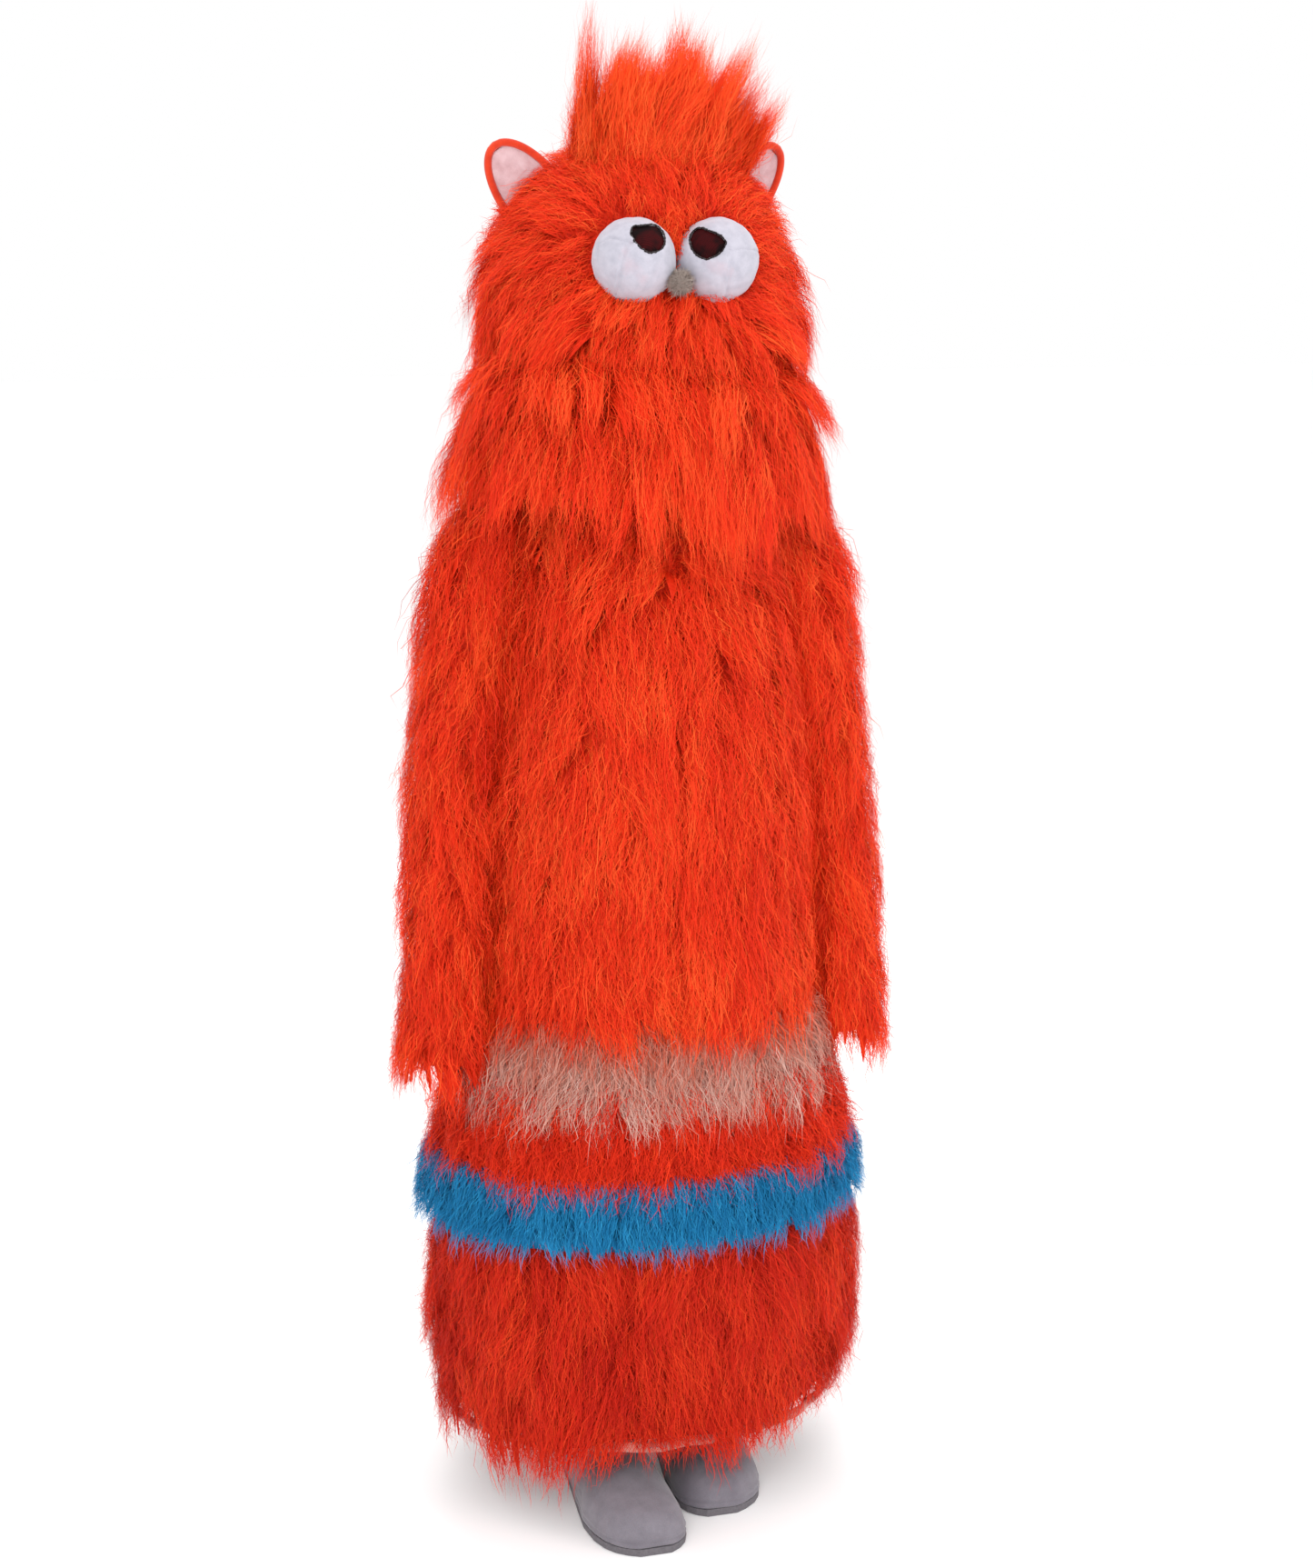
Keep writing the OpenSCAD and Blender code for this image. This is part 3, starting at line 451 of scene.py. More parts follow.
def fur(name, mat, roots, locks, tufts, L, seed, K=6, width=0.00085, lift=1.0, grav=0.5, wave=(0.19, 0.24), pull=(0.14, 0.17),
        ragged=0.010, fuzz=0.11, frizz=0.0036, tone=None, backing=None, flare=0.0, lenvar=0.11, a0=1.05, hold=4.2, blade=0.015, under=0.0058):
    """roots, locks, tufts are (points, normals, combs): fibres gather into tufts, and tufts into broad soft locks.
    Under the fibres each tuft has a wide soft leaf, the matted undercoat that hides the cloth."""
    rng = np.random.default_rng(seed)
    (rp, rn, rd), (cp, cn, cd), (sp, sn, sd) = roots, locks, tufts
    m, s, n = len(cp), len(sp), len(rp)
    Lc = (L(cp) if callable(L) else np.full(m, L)) * rng.uniform(1 - lenvar, 1 + lenvar, m)
    lf = (lift(cp) if callable(lift) else np.full(m, lift)) * rng.uniform(0.88, 1.12, m)
    G = guides(cp, cn, cd, Lc, lf, rng, K, grav, wave, a0, flare, hold)
    shade_c = rng.normal(0, 0.07, m)
    ks = nearest(cp, sp, rng, ragged)
    t = np.linspace(0, 1, K)
    q = rng.uniform(0.84, 1.05, s)
    own = rng.normal(0, 1, (s, 3)) * 0.0032
    S = along_curve(G[ks], q) - (sp - cp[ks])[:, None, :] * (pull[0] * t ** 1.25)[None, :, None] + own[:, None, :] * (t ** 1.5)[None, :, None]
    shade_s = shade_c[ks] + rng.normal(0, 0.06, s)
    kf = nearest(sp, rp, rng, ragged * 0.35)
    q = rng.uniform(0.62, 1.06, n)
    loose = rng.random(n) < fuzz
    wob = rng.normal(0, 1, (n, 3)) * np.where(loose, 0.009, 0.0028)[:, None]
    F = along_curve(S[kf], q) - (rp - sp[kf])[:, None, :] * ((pull[1] * t ** 1.1)[None, :] * np.where(loose, 0.4, 1)[:, None])[..., None]
    F = F + wob[:, None, :] * (t ** 1.4)[None, :, None]
    F = F + rng.normal(0, frizz * 1.25, (n, K, 3)) * np.minimum(t * 4, 1)[None, :, None]
    out_ = np.einsum("nij,nj->ni", F, rn)            # keep above the skin
    F = F + np.maximum(0.002 * t[None, :] - out_, 0)[..., None] * rn[:, None, :] * (0.8 if grav < 0.9 else 0.2)
    P = rp[:, None, :] + F
    T = unit(np.gradient(P, axis=1))
    roll = rng.uniform(-0.8, 0.8, n)
    ref = unit(rn + roll[:, None] * np.cross(rn, rd))
    B = unit(np.cross(T, ref[:, None, :]))
    prof = np.concatenate([[0.8], np.linspace(1, 0.6, K - 2), [0]])
    wd = width * rng.uniform(0.7, 1.3, n)[:, None] * prof[None, :] * 0.5
    nv = 2 * (K - 1) + 1
    V = np.empty((n, nv, 3), np.float32)
    V[:, 0:2 * (K - 1):2] = (P - B * wd[..., None])[:, :K - 1]
    V[:, 1:2 * (K - 1):2] = (P + B * wd[..., None])[:, :K - 1]
    V[:, -1] = P[:, -1]
    base = (np.arange(n) * nv)[:, None]
    quads = np.array([[2 * j, 2 * j + 1, 2 * j + 3, 2 * j + 2] for j in range(K - 2)])
    tri = np.array([2 * (K - 2), 2 * (K - 2) + 1, nv - 1])
    loop_v = np.concatenate([(base + quads.reshape(1, -1)), base + tri[None, :]], axis=1).astype(np.int32).reshape(-1)
    lens = np.tile(np.array([4] * (K - 2) + [3], np.int32), n)
    shade = np.clip(0.5 + shade_s[kf] + rng.normal(0, 0.16, n) + (tone(rp) if tone else 0), 0.03, 0.97)
    uvt = np.empty((n, nv, 2), np.float32)
    uvt[:, 0:2 * (K - 1):2, 1] = t[:K - 1]
    uvt[:, 1:2 * (K - 1):2, 1] = t[:K - 1]
    uvt[:, -1, 1] = 0.995
    uvt[:, 0:2 * (K - 1):2, 0] = (shade - 0.012)[:, None]
    uvt[:, 1:2 * (K - 1):2, 0] = (shade + 0.012)[:, None]
    uvt[:, -1, 0] = shade
    uvt[..., 1] = np.clip(uvt[..., 1], 0.01, 0.99)
    V, uv = V.reshape(-1, 3), uvt.reshape(-1, 2)[loop_v]
    if blade > 0:
        cen = sp[:, None, :] + S * rng.uniform(0.50, 0.72, s)[:, None, None]
        Tb = unit(np.gradient(cen, axis=1))
        Bb = unit(np.cross(Tb, sn[:, None, :]))
        Nb = np.cross(Bb, Tb)
        bw = blade * rng.uniform(0.8, 1.2, s)[:, None] * np.interp(t, [0, 0.2, 0.5, 0.8, 1], [0.9, 1, 0.75, 0.35, 0.06])[None, :] * 0.5
        cen = cen - sn[:, None, :] * under * np.minimum(t * 5, 1)[None, :, None]
        rough = rng.normal(0, 0.0009, (s, K, 3))
        W = np.stack([cen - Bb * bw[..., None], cen + Nb * 0.0014 + rough, cen + Bb * bw[..., None]], axis=2).reshape(s, K * 3, 3)
        bq = np.array([[3 * j + k, 3 * j + k + 1, 3 * j + k + 4, 3 * j + k + 3] for j in range(K - 1) for k in (0, 1)])
        bl = ((np.arange(s) * K * 3)[:, None] + bq.reshape(1, -1)).reshape(-1)
        # the leaves sit low in V, so part of their colour is the painted root shade
        bt = 0.22 + np.repeat(t, 3) * 0.5
        sh = np.clip(0.46 + shade_s + (tone(sp) if tone else 0), 0.03, 0.97)
        bu = np.stack([np.broadcast_to(sh[:, None], (s, K * 3)), np.broadcast_to(np.clip(bt, 0.16, 0.9)[None, :], (s, K * 3))], -1).reshape(-1, 2)
        loop_v = np.concatenate([loop_v, (bl + len(V)).astype(np.int32)])
        lens = np.concatenate([lens, np.full(s * len(bq), 4, np.int32)])
        uv = np.concatenate([uv, bu[bl].astype(np.float32)])
        V = np.concatenate([V, W.reshape(-1, 3).astype(np.float32)])
    if backing is not None:
        bv, bf = backing
        bl = (np.asarray(bf, np.int32) + len(V))
        V = np.concatenate([V, np.asarray(bv, np.float32)])
        loop_v = np.concatenate([loop_v, bl.reshape(-1)])
        lens = np.concatenate([lens, np.full(len(bf), 4, np.int32)])
        # the backing cloth takes a middling V, so part of its colour is the painted root shade
        uv = np.concatenate([uv, np.tile(np.array([[0.36, 0.26], [0.44, 0.26], [0.44, 0.32], [0.36, 0.32]], np.float32), (len(bf), 1))])
    V = V + np.array([0, Y, 0], np.float32)
    over = np.maximum(np.abs(V[:, 0]) - 0.330, 0)          # the outermost stray tips lie back towards the rest
    V[:, 0] = np.sign(V[:, 0]) * (np.minimum(np.abs(V[:, 0]), 0.330) + 0.0118 * (1 - np.exp(-over / 0.0118)))
    over = np.maximum(V[:, 1] - 0.244, 0)
    V[:, 1] = np.minimum(V[:, 1], 0.244) + 0.0138 * (1 - np.exp(-over / 0.0138))
    over = np.maximum(V[:, 2] - 1.855, 0)
    V[:, 2] = np.minimum(V[:, 2], 1.855) + 0.027 * (1 - np.exp(-over / 0.027))
    me = bpy.data.meshes.new(name)
    me.vertices.add(len(V))
    me.vertices.foreach_set("co", V.astype(np.float32).ravel())
    me.loops.add(len(loop_v))
    me.loops.foreach_set("vertex_index", loop_v.astype(np.int32))
    me.polygons.add(len(lens))
    starts = np.concatenate([[0], np.cumsum(lens)[:-1]]).astype(np.int32)
    me.polygons.foreach_set("loop_start", starts)
    me.update(calc_edges=True)
    layer = me.uv_layers.new(name="OFBake")
    layer.data.foreach_set("uv", uv.astype(np.float32).ravel())
    me.polygons.foreach_set("use_smooth", np.ones(len(lens), bool))
    me.update()
    o = bpy.data.objects.new(name, me)
    scene.collection.objects.link(o)
    dress(o, mat)
    return o


def skin(surf_outer, grid_th, grid_v, thick, close_th=True, kind="rings"):
    """A closed shell of quads: the cloth that the pile grows from, thick inwards."""
    TH, VV = np.meshgrid(grid_th, grid_v)
    p, n, d = surf_outer.frame(TH.ravel(), VV.ravel())
    q = p - n * thick
    nt_h, nv = len(grid_th), len(grid_v)
    idx = np.arange(nt_h * nv).reshape(nv, nt_h)
    o = nt_h * nv
    f = []
    cols = range(nt_h) if close_th else range(nt_h - 1)
    for i in range(nv - 1):
        for j in cols:
            k = (j + 1) % nt_h
            a, b, c, e = idx[i, j], idx[i, k], idx[i + 1, k], idx[i + 1, j]
            f.append((a, b, c, e))
            f.append((o + a, o + e, o + c, o + b))
    for j in cols:
        k = (j + 1) % nt_h
        a, b = idx[0, j], idx[0, k]
        f.append((a, o + a, o + b, b))
        a, b = idx[-1, j], idx[-1, k]
        f.append((a, b, o + b, o + a))
    if not close_th:
        for i in range(nv - 1):
            a, b = idx[i, 0], idx[i + 1, 0]
            f.append((a, b, o + b, o + a))
            a, b = idx[i, -1], idx[i + 1, -1]
            f.append((a, o + a, o + b, b))
    return np.concatenate([p, q]), f


DENS = 1.0


def triple(surf, smp):
    return surf.frame(smp[:, 0], smp[:, 1])


def grow(name, mat, surf, z0, z1, seed, L, th=(0, 2 * PI), lock=(0.045, 0.05), tuft=(0.013, 0.016), fib=(0.0042, 0.0058), back=None, comb=None, keep=None, **kw):
    rng = np.random.default_rng(seed + 1000)
    k = 1 / math.sqrt(DENS)

    def seat(sx, sz, jitter, cut):
        p, n, d = triple(surf, ring_samples(surf, z0, z1, sx, sz, rng, th[0], th[1], jitter))
        if cut is not None:
            m = cut(p)
            p, n, d = p[m], n[m], d[m]
        return (p, n, comb(p, n, d)) if comb else (p, n, d)

    R = seat(fib[0] * k, fib[1] * k, 0.5, keep)
    C = seat(lock[0], lock[1], 0.42, keep)
    S = seat(tuft[0], tuft[1], 0.48, keep)
    o = fur(name, mat, R, C, S, L, seed, backing=back, **kw)
    return o


made = []


def piece(o, body, *nodes, slot=None):
    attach(o, body)
    if nodes:
        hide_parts(*nodes)
    made.append(o)
    return o


# ---- robe
tunic = Rings([[0.642, .206, .196, .181], [0.70, .205, .194, .178], [0.93, .197, .184, .1665], [1.10, .174, .170, .158],
               [1.147, .164, .163, .1557], [1.215, .152, .150, .1522], [1.26, .146, .138, .150], [1.30, .128, .116, .120], [1.325, .096, .092, .092]], 2.4, inset=0.016)
Z90 = PI / 2
zip_gap = 0.045                 # half the opening left for the zipper, in radians
zip_foot = 0.694


def back_grid(a, b, n):
    return np.linspace(a, b, n)


zs = np.linspace(0.63, 1.318, 40)
b_front = skin(tunic, back_grid(PI, 2 * PI, 61), zs, 0.006, close_th=False)
b_left = skin(tunic, back_grid(0, Z90 - zip_gap, 34), zs, 0.006, close_th=False)
b_right = skin(tunic, back_grid(Z90 + zip_gap, PI, 34), zs, 0.006, close_th=False)
zf = skin(tunic, np.linspace(Z90 - zip_gap - 0.004, Z90 + zip_gap + 0.004, 5), np.linspace(0.63, zip_foot, 5), 0.006, close_th=False)
b_left = (np.concatenate([b_left[0], zf[0]]), list(b_left[1]) + [tuple(i + len(b_left[0]) for i in q_) for q_ in zf[1]])


def zip_keep(p):
    return (np.abs(p[:, 0]) > 0.0092) | (p[:, 2] < zip_foot - 0.004)


def zip_comb(p, n, d):
    """The pile beside the zipper leans over it."""
    w = np.exp(-(p[:, 0] / 0.030) ** 2) * (p[:, 2] > zip_foot)
    return unit(d + np.stack([-np.sign(p[:, 0]) * w * 0.10, 0 * w, 0 * w], -1))


orange = FUR["orange"]
body_L = lambda p: 0.104 + 0.014 * np.sin(p[:, 0] * 23 + p[:, 2] * 9)


def spread(base, mat, surf, z0, z1, seed, L, th, parts, body, nodes=(), slot=None, back=None, **kw):
    """One field of pile, cut into panels."""
    cuts = np.linspace(th[0], th[1], parts + 1)
    for i in range(parts):
        o_ = grow("%s_%d" % (base, i + 1) if parts > 1 else base, mat, surf, z0, z1, seed + 100 * i, L, th=(cuts[i], cuts[i + 1]), back=back if i == 0 else None, **kw)
        piece(o_, body, *(nodes if i == 0 else ()), slot=slot)


FINE = (0.0031, 0.0035)
chest_lift = lambda p: 1.0 + 1.5 * np.clip((p[:, 2] - 1.15) / 0.10, 0, 1) * (p[:, 1] < 0.03)
spread("tunic_front_fur", orange, tunic, 0.672, 1.316, 11, body_L, (PI, 2 * PI), 2, "robe", ("tunic_front_panel",), "orange_fur", b_front, fib=FINE, lift=chest_lift)
spread("tunic_back_left_fur", orange, tunic, 0.672, 1.316, 12, body_L, (0, Z90), 1, "robe", ("tunic_back_left_panel",), "orange_fur", b_left, fib=(0.0033, 0.0037), keep=zip_keep, comb=zip_comb)
spread("tunic_back_right_fur", orange, tunic, 0.672, 1.316, 13, body_L, (Z90, PI), 1, "robe", ("tunic_back_right_panel",), "orange_fur", b_right, fib=(0.0033, 0.0037), keep=zip_keep, comb=zip_comb)

band = Rings([[0.527, .245, .201, .189], [0.56, .235, .200, .186], [0.642, .217, .197, .181], [0.70, .206, .194, .178]], 2.4, inset=0.016)
circ = np.linspace(0, 2 * PI, 121)[:-1]
bb = skin(band, circ, np.linspace(0.53, 0.640, 10), 0.006)
spread("beige_fur", FUR["beige"], band, 0.566, 0.664, 21, 0.082, (0, 2 * PI), 1, "robe", ("beige_fur_band",), "beige_fur", bb, fib=(0.0033, 0.0033), lock=(0.026, 0.024), tuft=(0.011, 0.012), lenvar=0.24, pull=(0.3, 0.35), tone=lambda p: -0.40 * np.clip((p[:, 2] - 0.625) / 0.034, 0, 1))

hem = Rings([[0.452, .271, .206, .200], [0.50, .263, .204, .196], [0.527, .252, .201, .190], [0.60, .239, .199, .184]], 2.3, inset=0.016)
hb = skin(hem, circ, np.linspace(0.455, 0.530, 8), 0.006)
spread("tunic_hem_fur", orange, hem, 0.472, 0.592, 22, 0.068, (0, 2 * PI), 1, "robe", ("tunic_hem_band",), "orange_fur", hb, fib=(0.0034, 0.0037), lock=(0.036, 0.028), lenvar=0.24, lift=1.1, tone=lambda p: -0.25 + 0 * p[:, 2])

blue = Rings([[0.36, .270, .200, .190], [0.40, .272, .202, .192], [0.45, .264, .196, .187], [0.47, .258, .192, .184]], 2.0)
blb = skin(blue, circ, np.linspace(0.372, 0.452, 8), 0.008)
spread("blue_band_fur", FUR["blue"], blue, 0.392, 0.464, 23, 0.060, (0, 2 * PI), 1, "robe", ("blue_fur_band",), "blue_fur", blb, fib=(0.0028, 0.0030), lock=(0.028, 0.020), tuft=(0.010, 0.012), lenvar=0.07, lift=1.35, a0=1.25, hold=3.6, pull=(0.24, 0.28), frizz=0.0022, fuzz=0.05, ragged=0.006)

skirt = Rings([[0.112, .262, .202, .196], [0.17, .273, .208, .200], [0.26, .280, .212, .203], [0.352, .272, .208, .199], [0.40, .262, .200, .192]], 2.0, inset=0.020)
szs = np.linspace(0.114, 0.36, 18)
sk_f = skin(skirt, back_grid(PI, 2 * PI, 61), szs, 0.007, close_th=False)
sk_b = skin(skirt, back_grid(0, PI, 61), szs, 0.007, close_th=False)


def skirt_len(p):
    th = np.arctan2(p[:, 1], p[:, 0])
    low = np.clip((0.26 - p[:, 2]) / 0.12, 0, 1)
    short = np.exp(-((th + 0.50) / 0.62) ** 2) * 0.40 + np.exp(-((th + 1.46) / 0.09) ** 2) * 0.26
    full = np.exp(-((th + 1.95) / 0.30) ** 2) * 0.30 + np.exp(-((th + 2.80) / 0.45) ** 2) * 0.24
    return 0.095 * (1 + (full - short) * low) + 0.008 * np.sin(p[:, 0] * 31)


def skirt_keep(p):
    th = np.arctan2(p[:, 1], p[:, 0])
    return p[:, 2] > 0.130 + 0.010 * np.exp(-((th + 0.45) / 0.50) ** 2)


spread("skirt_front_fur", FUR["skirt"], skirt, 0.132, 0.396, 31, skirt_len, (PI, 2 * PI), 1, "robe", ("skirt_front_panel",), "skirt_fur", sk_f, fib=(0.0031, 0.0035), lenvar=0.28, keep=skirt_keep)
spread("skirt_back_fur", FUR["skirt"], skirt, 0.132, 0.396, 32, skirt_len, (0, PI), 1, "robe", ("skirt_back_panel",), "skirt_fur", sk_b, fib=(0.0033, 0.0037), lenvar=0.26, keep=skirt_keep)

# ---- mane
cape = Rings([[1.290, .200, .178, .164], [1.33, .197, .174, .162], [1.38, .186, .166, .154], [1.415, .178, .158, .150], [1.440, .160, .142, .142]], 2.0)
cb = skin(cape, circ, np.linspace(1.306, 1.440, 14), 0.006)
cape_L = lambda p: 0.122 + 0.016 * np.sin(p[:, 0] * 19 + 1)
mane_lift = lambda p: (0.80 + 0.48 * np.clip(-p[:, 0] / 0.15, 0, 1) - 0.25 * np.clip(p[:, 0] / 0.15, 0, 1) * (p[:, 1] < 0)) * np.where(p[:, 1] > 0.05, 0.62, 1.0) + 0.45 * np.clip((p[:, 2] - 1.405) / 0.03, 0, 1) * (p[:, 1] < 0.05)
spread("mane_front_fur", orange, cape, 1.330, 1.439, 41, lambda p: cape_L(p) + 0.010, (PI, 2 * PI), 1, "mane", ("mane_cape",), "orange_fur", cb, fib=(0.0024, 0.0026), lock=(0.034, 0.024), lenvar=0.30, lift=mane_lift, hold=3.8)
spread("mane_back_fur", orange, cape, 1.330, 1.439, 42, cape_L, (0, PI), 1, "mane", (), "orange_fur", None, fib=(0.0026, 0.0028), lock=(0.034, 0.024), lenvar=0.26, lift=mane_lift, hold=4.2)

# ---- head
head = Rings([[1.425, .146, .132, .138], [1.46, .166, .148, .154], [1.50, .170, .153, .157], [1.56, .164, .152, .157],
              [1.61, .143, .141, .144], [1.65, .115, .113, .116], [1.672, .084, .080, .086], [1.683, .046, .044, .048], [1.687, .006, .006, .006]])
DOMES = [np.array([s * 0.05, -0.152, 1.566]) for s in (-1, 1)]
EYE_R = 0.0496


def eye_gap(p):
    return np.minimum(*[np.hypot(p[:, 0] - c[0], p[:, 2] - c[2]) for c in DOMES])


def head_comb(p, n, d):
    """Away from both eyes near them, then down over the cheeks and the back."""
    v = sum((p - c) / np.linalg.norm(p - c, axis=1, keepdims=True) ** 2 for c in DOMES)
    v = unit(v) + np.array([0, 0, -0.25])
    gap = eye_gap(p)
    w = (np.exp(-(np.clip(gap - 0.05, 0, None) / 0.07) ** 2) * (p[:, 1] < 0.01))[:, None]
    c = unit(v) * w + d * (1 - w)
    c -= np.sum(c * n, axis=1, keepdims=True) * n
    return unit(c)


def off_eyes(p):
    return ((eye_gap(p) > 0.0405) | (p[:, 1] > 0)) & ~((np.abs(p[:, 0]) < 0.012) & (np.abs(p[:, 2] - 1.541) < 0.012) & (p[:, 1] < 0))


def face_lift(p):
    low_ = (p[:, 2] < 1.545) * np.exp(-((eye_gap(p) - 0.048) / 0.018) ** 2)
    return 1.0 + 1.0 * low_ + 0.25 * np.exp(-((p[:, 2] - 1.50) / 0.03) ** 2) * (np.abs(p[:, 0]) > 0.08)


def head_len(p):
    gap = np.clip((eye_gap(p) - 0.05) / 0.07, 0, 1)
    front = p[:, 1] < 0.02
    muzzle = (np.abs(p[:, 0]) < 0.10) & (p[:, 2] < 1.535) & front
    L = np.where(front, 0.040 + 0.056 * gap, 0.096)
    L = np.where(muzzle, 0.078, L)
    L = np.where((p[:, 2] < 1.51) & ~front, 0.118, L)
    L = np.where((p[:, 2] < 1.515) & front & (np.abs(p[:, 0]) > 0.09), 0.106, L)
    return L * np.where(p[:, 2] > 1.655, 0.75, 1.0)


hz = head.rows(1.4786, 1.686, 28)
face_back = skin(head, np.linspace(PI, 2 * PI, 61), hz, 0.005, close_th=False)
nape_back = skin(head, np.linspace(0, PI, 61), head.rows(1.428, 1.686, 30), 0.005, close_th=False)
spread("face_fur", orange, head, 1.4825, 1.686, 51, head_len, (PI, 2 * PI), 2, "head", ("head_fur",), "orange_fur", face_back, comb=head_comb, keep=off_eyes, lift=face_lift,
       fib=(0.0023, 0.0025), lock=(0.026, 0.026), tuft=(0.010, 0.010), lenvar=0.12, ragged=0.006, width=0.0008, pull=(0.13, 0.17), hold=2.9, blade=0.015, grav=0.32, frizz=0.0024)
spread("nape_fur", orange, head, 1.432, 1.686, 52, head_len, (0, PI), 1, "head", (), "orange_fur", nape_back, comb=head_comb,
       fib=(0.0030, 0.0033), lock=(0.034, 0.034), lenvar=0.14, lift=0.9, hold=3.4)

# ---- jaw
jaw_s = Rings([[1.430, .136, .128, .130], [1.46, .164, .147, .152], [1.478, .167, .150, .155]])
jb = skin(jaw_s, np.linspace(PI + 0.10, 2 * PI - 0.10, 56), np.linspace(1.431, 1.4780, 6), 0.006, close_th=False)
spread("jaw_fringe", orange, jaw_s, 1.432, 1.480, 61, lambda p: 0.086 + 0.022 * (1 - np.clip(np.abs(p[:, 0]) / 0.12, 0, 1)), (PI + 0.08, 2 * PI - 0.08), 1, "jaw", ("jaw_fur",), "orange_fur", jb,
       fib=(0.0022, 0.0026), lock=(0.026, 0.018), tuft=(0.010, 0.010), lenvar=0.22, lift=1.15, grav=0.62, width=0.0008, pull=(0.11, 0.16), hold=3.0, blade=0.015, frizz=0.0030)


# ---- tuft on the forehead
def on_head(x, y):
    zz = np.linspace(1.60, 1.687, 120)
    a, f, b = (np.interp(zz, head.z, t) for t in (head.a, head.f, head.b))
    q = (x[:, None] / a) ** 2 + (y[:, None] / np.where(y[:, None] < 0, f, b)) ** 2
    return zz[np.argmax(q >= 1.0, axis=1)]


def tuft_points(count, rng, jit):
    i = np.arange(count) + 0.5
    r, t = np.sqrt(i / count), i * 2.399963
    x = 0.006 + 0.101 * r * np.cos(t) + rng.normal(0, jit, count)
    y = 0.062 * r * np.sin(t) - 0.044 + rng.normal(0, jit, count)
    p = np.stack([x, y, on_head(x, y)], -1)
    n = unit(np.stack([x, y + 0.044, np.full(count, 0.01)], -1))
    d = unit(np.stack([x * 3.4 + 0.25 + 0.5 * np.clip(x, 0, None), (y + 0.044) * 3.0 - 0.02, np.ones(count)], -1))
    return p, n, d


trng = np.random.default_rng(7)
tuft_L = lambda p: 0.152 - 0.062 * np.clip(np.abs(p[:, 1] + 0.044) / 0.062, 0, 1) ** 1.6 - 0.084 * np.clip((np.hypot((p[:, 0] - 0.006) / 0.101, (p[:, 1] + 0.044) / 0.062) - 0.74) / 0.26, 0, 1) ** 1.3 * (1 - 0.55 * np.clip(p[:, 0] / 0.09, 0, 1)) + 0.012 * np.sin(p[:, 0] * 60)
tuft = fur("forehead_tuft_fur", orange, tuft_points(int(19500 * DENS), trng, 0.001), tuft_points(48, trng, 0.004), tuft_points(360, trng, 0.002), tuft_L, 72,
           grav=0.0, wave=(0.14, 0.26), a0=0.12, lift=1.0, lenvar=0.26, pull=(0.52, 0.30), ragged=0.009, width=0.0007, fuzz=0.24, blade=0.008, frizz=0.0036, tone=lambda p: 0.24 + 0 * p[:, 2])
piece(tuft, "head", "forehead_tuft", slot="orange_fur")

# ---- sleeves
for s, side in ((1, "left"), (-1, "right")):
    pts = [(.120, 0, 1.300), (.160, 0, 1.276), (.191, -.002, 1.215), (.208, -.004, 1.13), (.227, -.008, 1.01), (.240, -.012, .93), (.249, -.020, .78), (.257, -.028, .66), (.260, -.032, .588)]
    pts = [(s * x, y, z) for x, y, z in pts]
    sl = Tube(pts, [.034, .044, .050, .047, .044, .041, .041, .042, .043])
    k = 1 / math.sqrt(DENS)
    rng = np.random.default_rng(81 + s)
    R = triple(sl, tube_samples(sl, 0.0, sl.len - 0.012, 0.0031 * k, 0.0034 * k, rng))
    C = triple(sl, tube_samples(sl, 0.0, sl.len - 0.012, 0.042, 0.05, rng, 0.42))
    S = triple(sl, tube_samples(sl, 0.0, sl.len - 0.012, 0.013, 0.016, rng, 0.48))
    bk = skin(sl, np.linspace(0, 2 * PI, 33)[:-1], np.linspace(0.0, sl.len, 50), 0.005)
    o = fur("sleeve_fur_" + side, orange, R, C, S, 0.094, 84 + s, backing=bk, lift=0.88, lenvar=0.12, grav=0.72)
    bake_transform(o)
    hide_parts("upper_sleeve_" + side, "lower_sleeve_" + side)
    made.append(o)


# ------------------------------------------------------------------ eyes, nose
def chaikin(P, times=2, closed=True):
    P = np.array(P, float)
    for _ in range(times):
        Q = np.roll(P, -1, axis=0) if closed else P[1:]
        A = P if closed else P[:-1]
        P2 = np.empty((2 * len(A), 2))
        P2[0::2], P2[1::2] = A * 0.75 + Q * 0.25, A * 0.25 + Q * 0.75
        P = P2 if closed else np.concatenate([P[:1], P2, P[-1:]])
    return P


def to_plane(P):
    P = np.array(P, float)
    r = np.clip(np.hypot(P[:, 0], P[:, 1]), 1e-6, 0.999)
    return P / r[:, None] * np.arcsin(r)[:, None]


def resample(P, step, closed=True):
    Q = np.concatenate([P, P[:1]]) if closed else P
    s = np.concatenate([[0], np.cumsum(np.linalg.norm(np.diff(Q, axis=0), axis=1))])
    n = max(8, int(s[-1] / step))
    t = np.linspace(0, s[-1], n + 1)[: -1 if closed else None]
    return np.stack([np.interp(t, s, Q[:, i]) for i in (0, 1)], -1)


def inside(P, q):
    x, y = q[:, 0], q[:, 1]
    c = np.zeros(len(q), bool)
    for (x0, y0), (x1, y1) in zip(P, np.roll(P, -1, axis=0)):
        hit = ((y0 > y) != (y1 > y)) & (x < (x1 - x0) * (y - y0) / (y1 - y0 + 1e-12) + x0)
        c ^= hit
    return c


def line_dist(P, q):
    best = np.full(len(q), 9.0)
    for a, b in zip(P[:-1], P[1:]):
        ab = b - a
        t = np.clip(((q - a) @ ab) / (ab @ ab), 0, 1)
        best = np.minimum(best, np.linalg.norm(q - a - t[:, None] * ab, axis=1))
    return best


def on_ball(q, c, R):
    """Points of the flat pattern, laid over a ball that faces -Y."""
    t = np.linalg.norm(q, axis=1)
    k = np.where(t > 1e-9, np.sin(t) / np.maximum(t, 1e-9), 1.0)
    return c + np.stack([q[:, 0] * k, -np.cos(t), q[:, 1] * k], -1) * np.asarray(R).reshape(-1, 1)


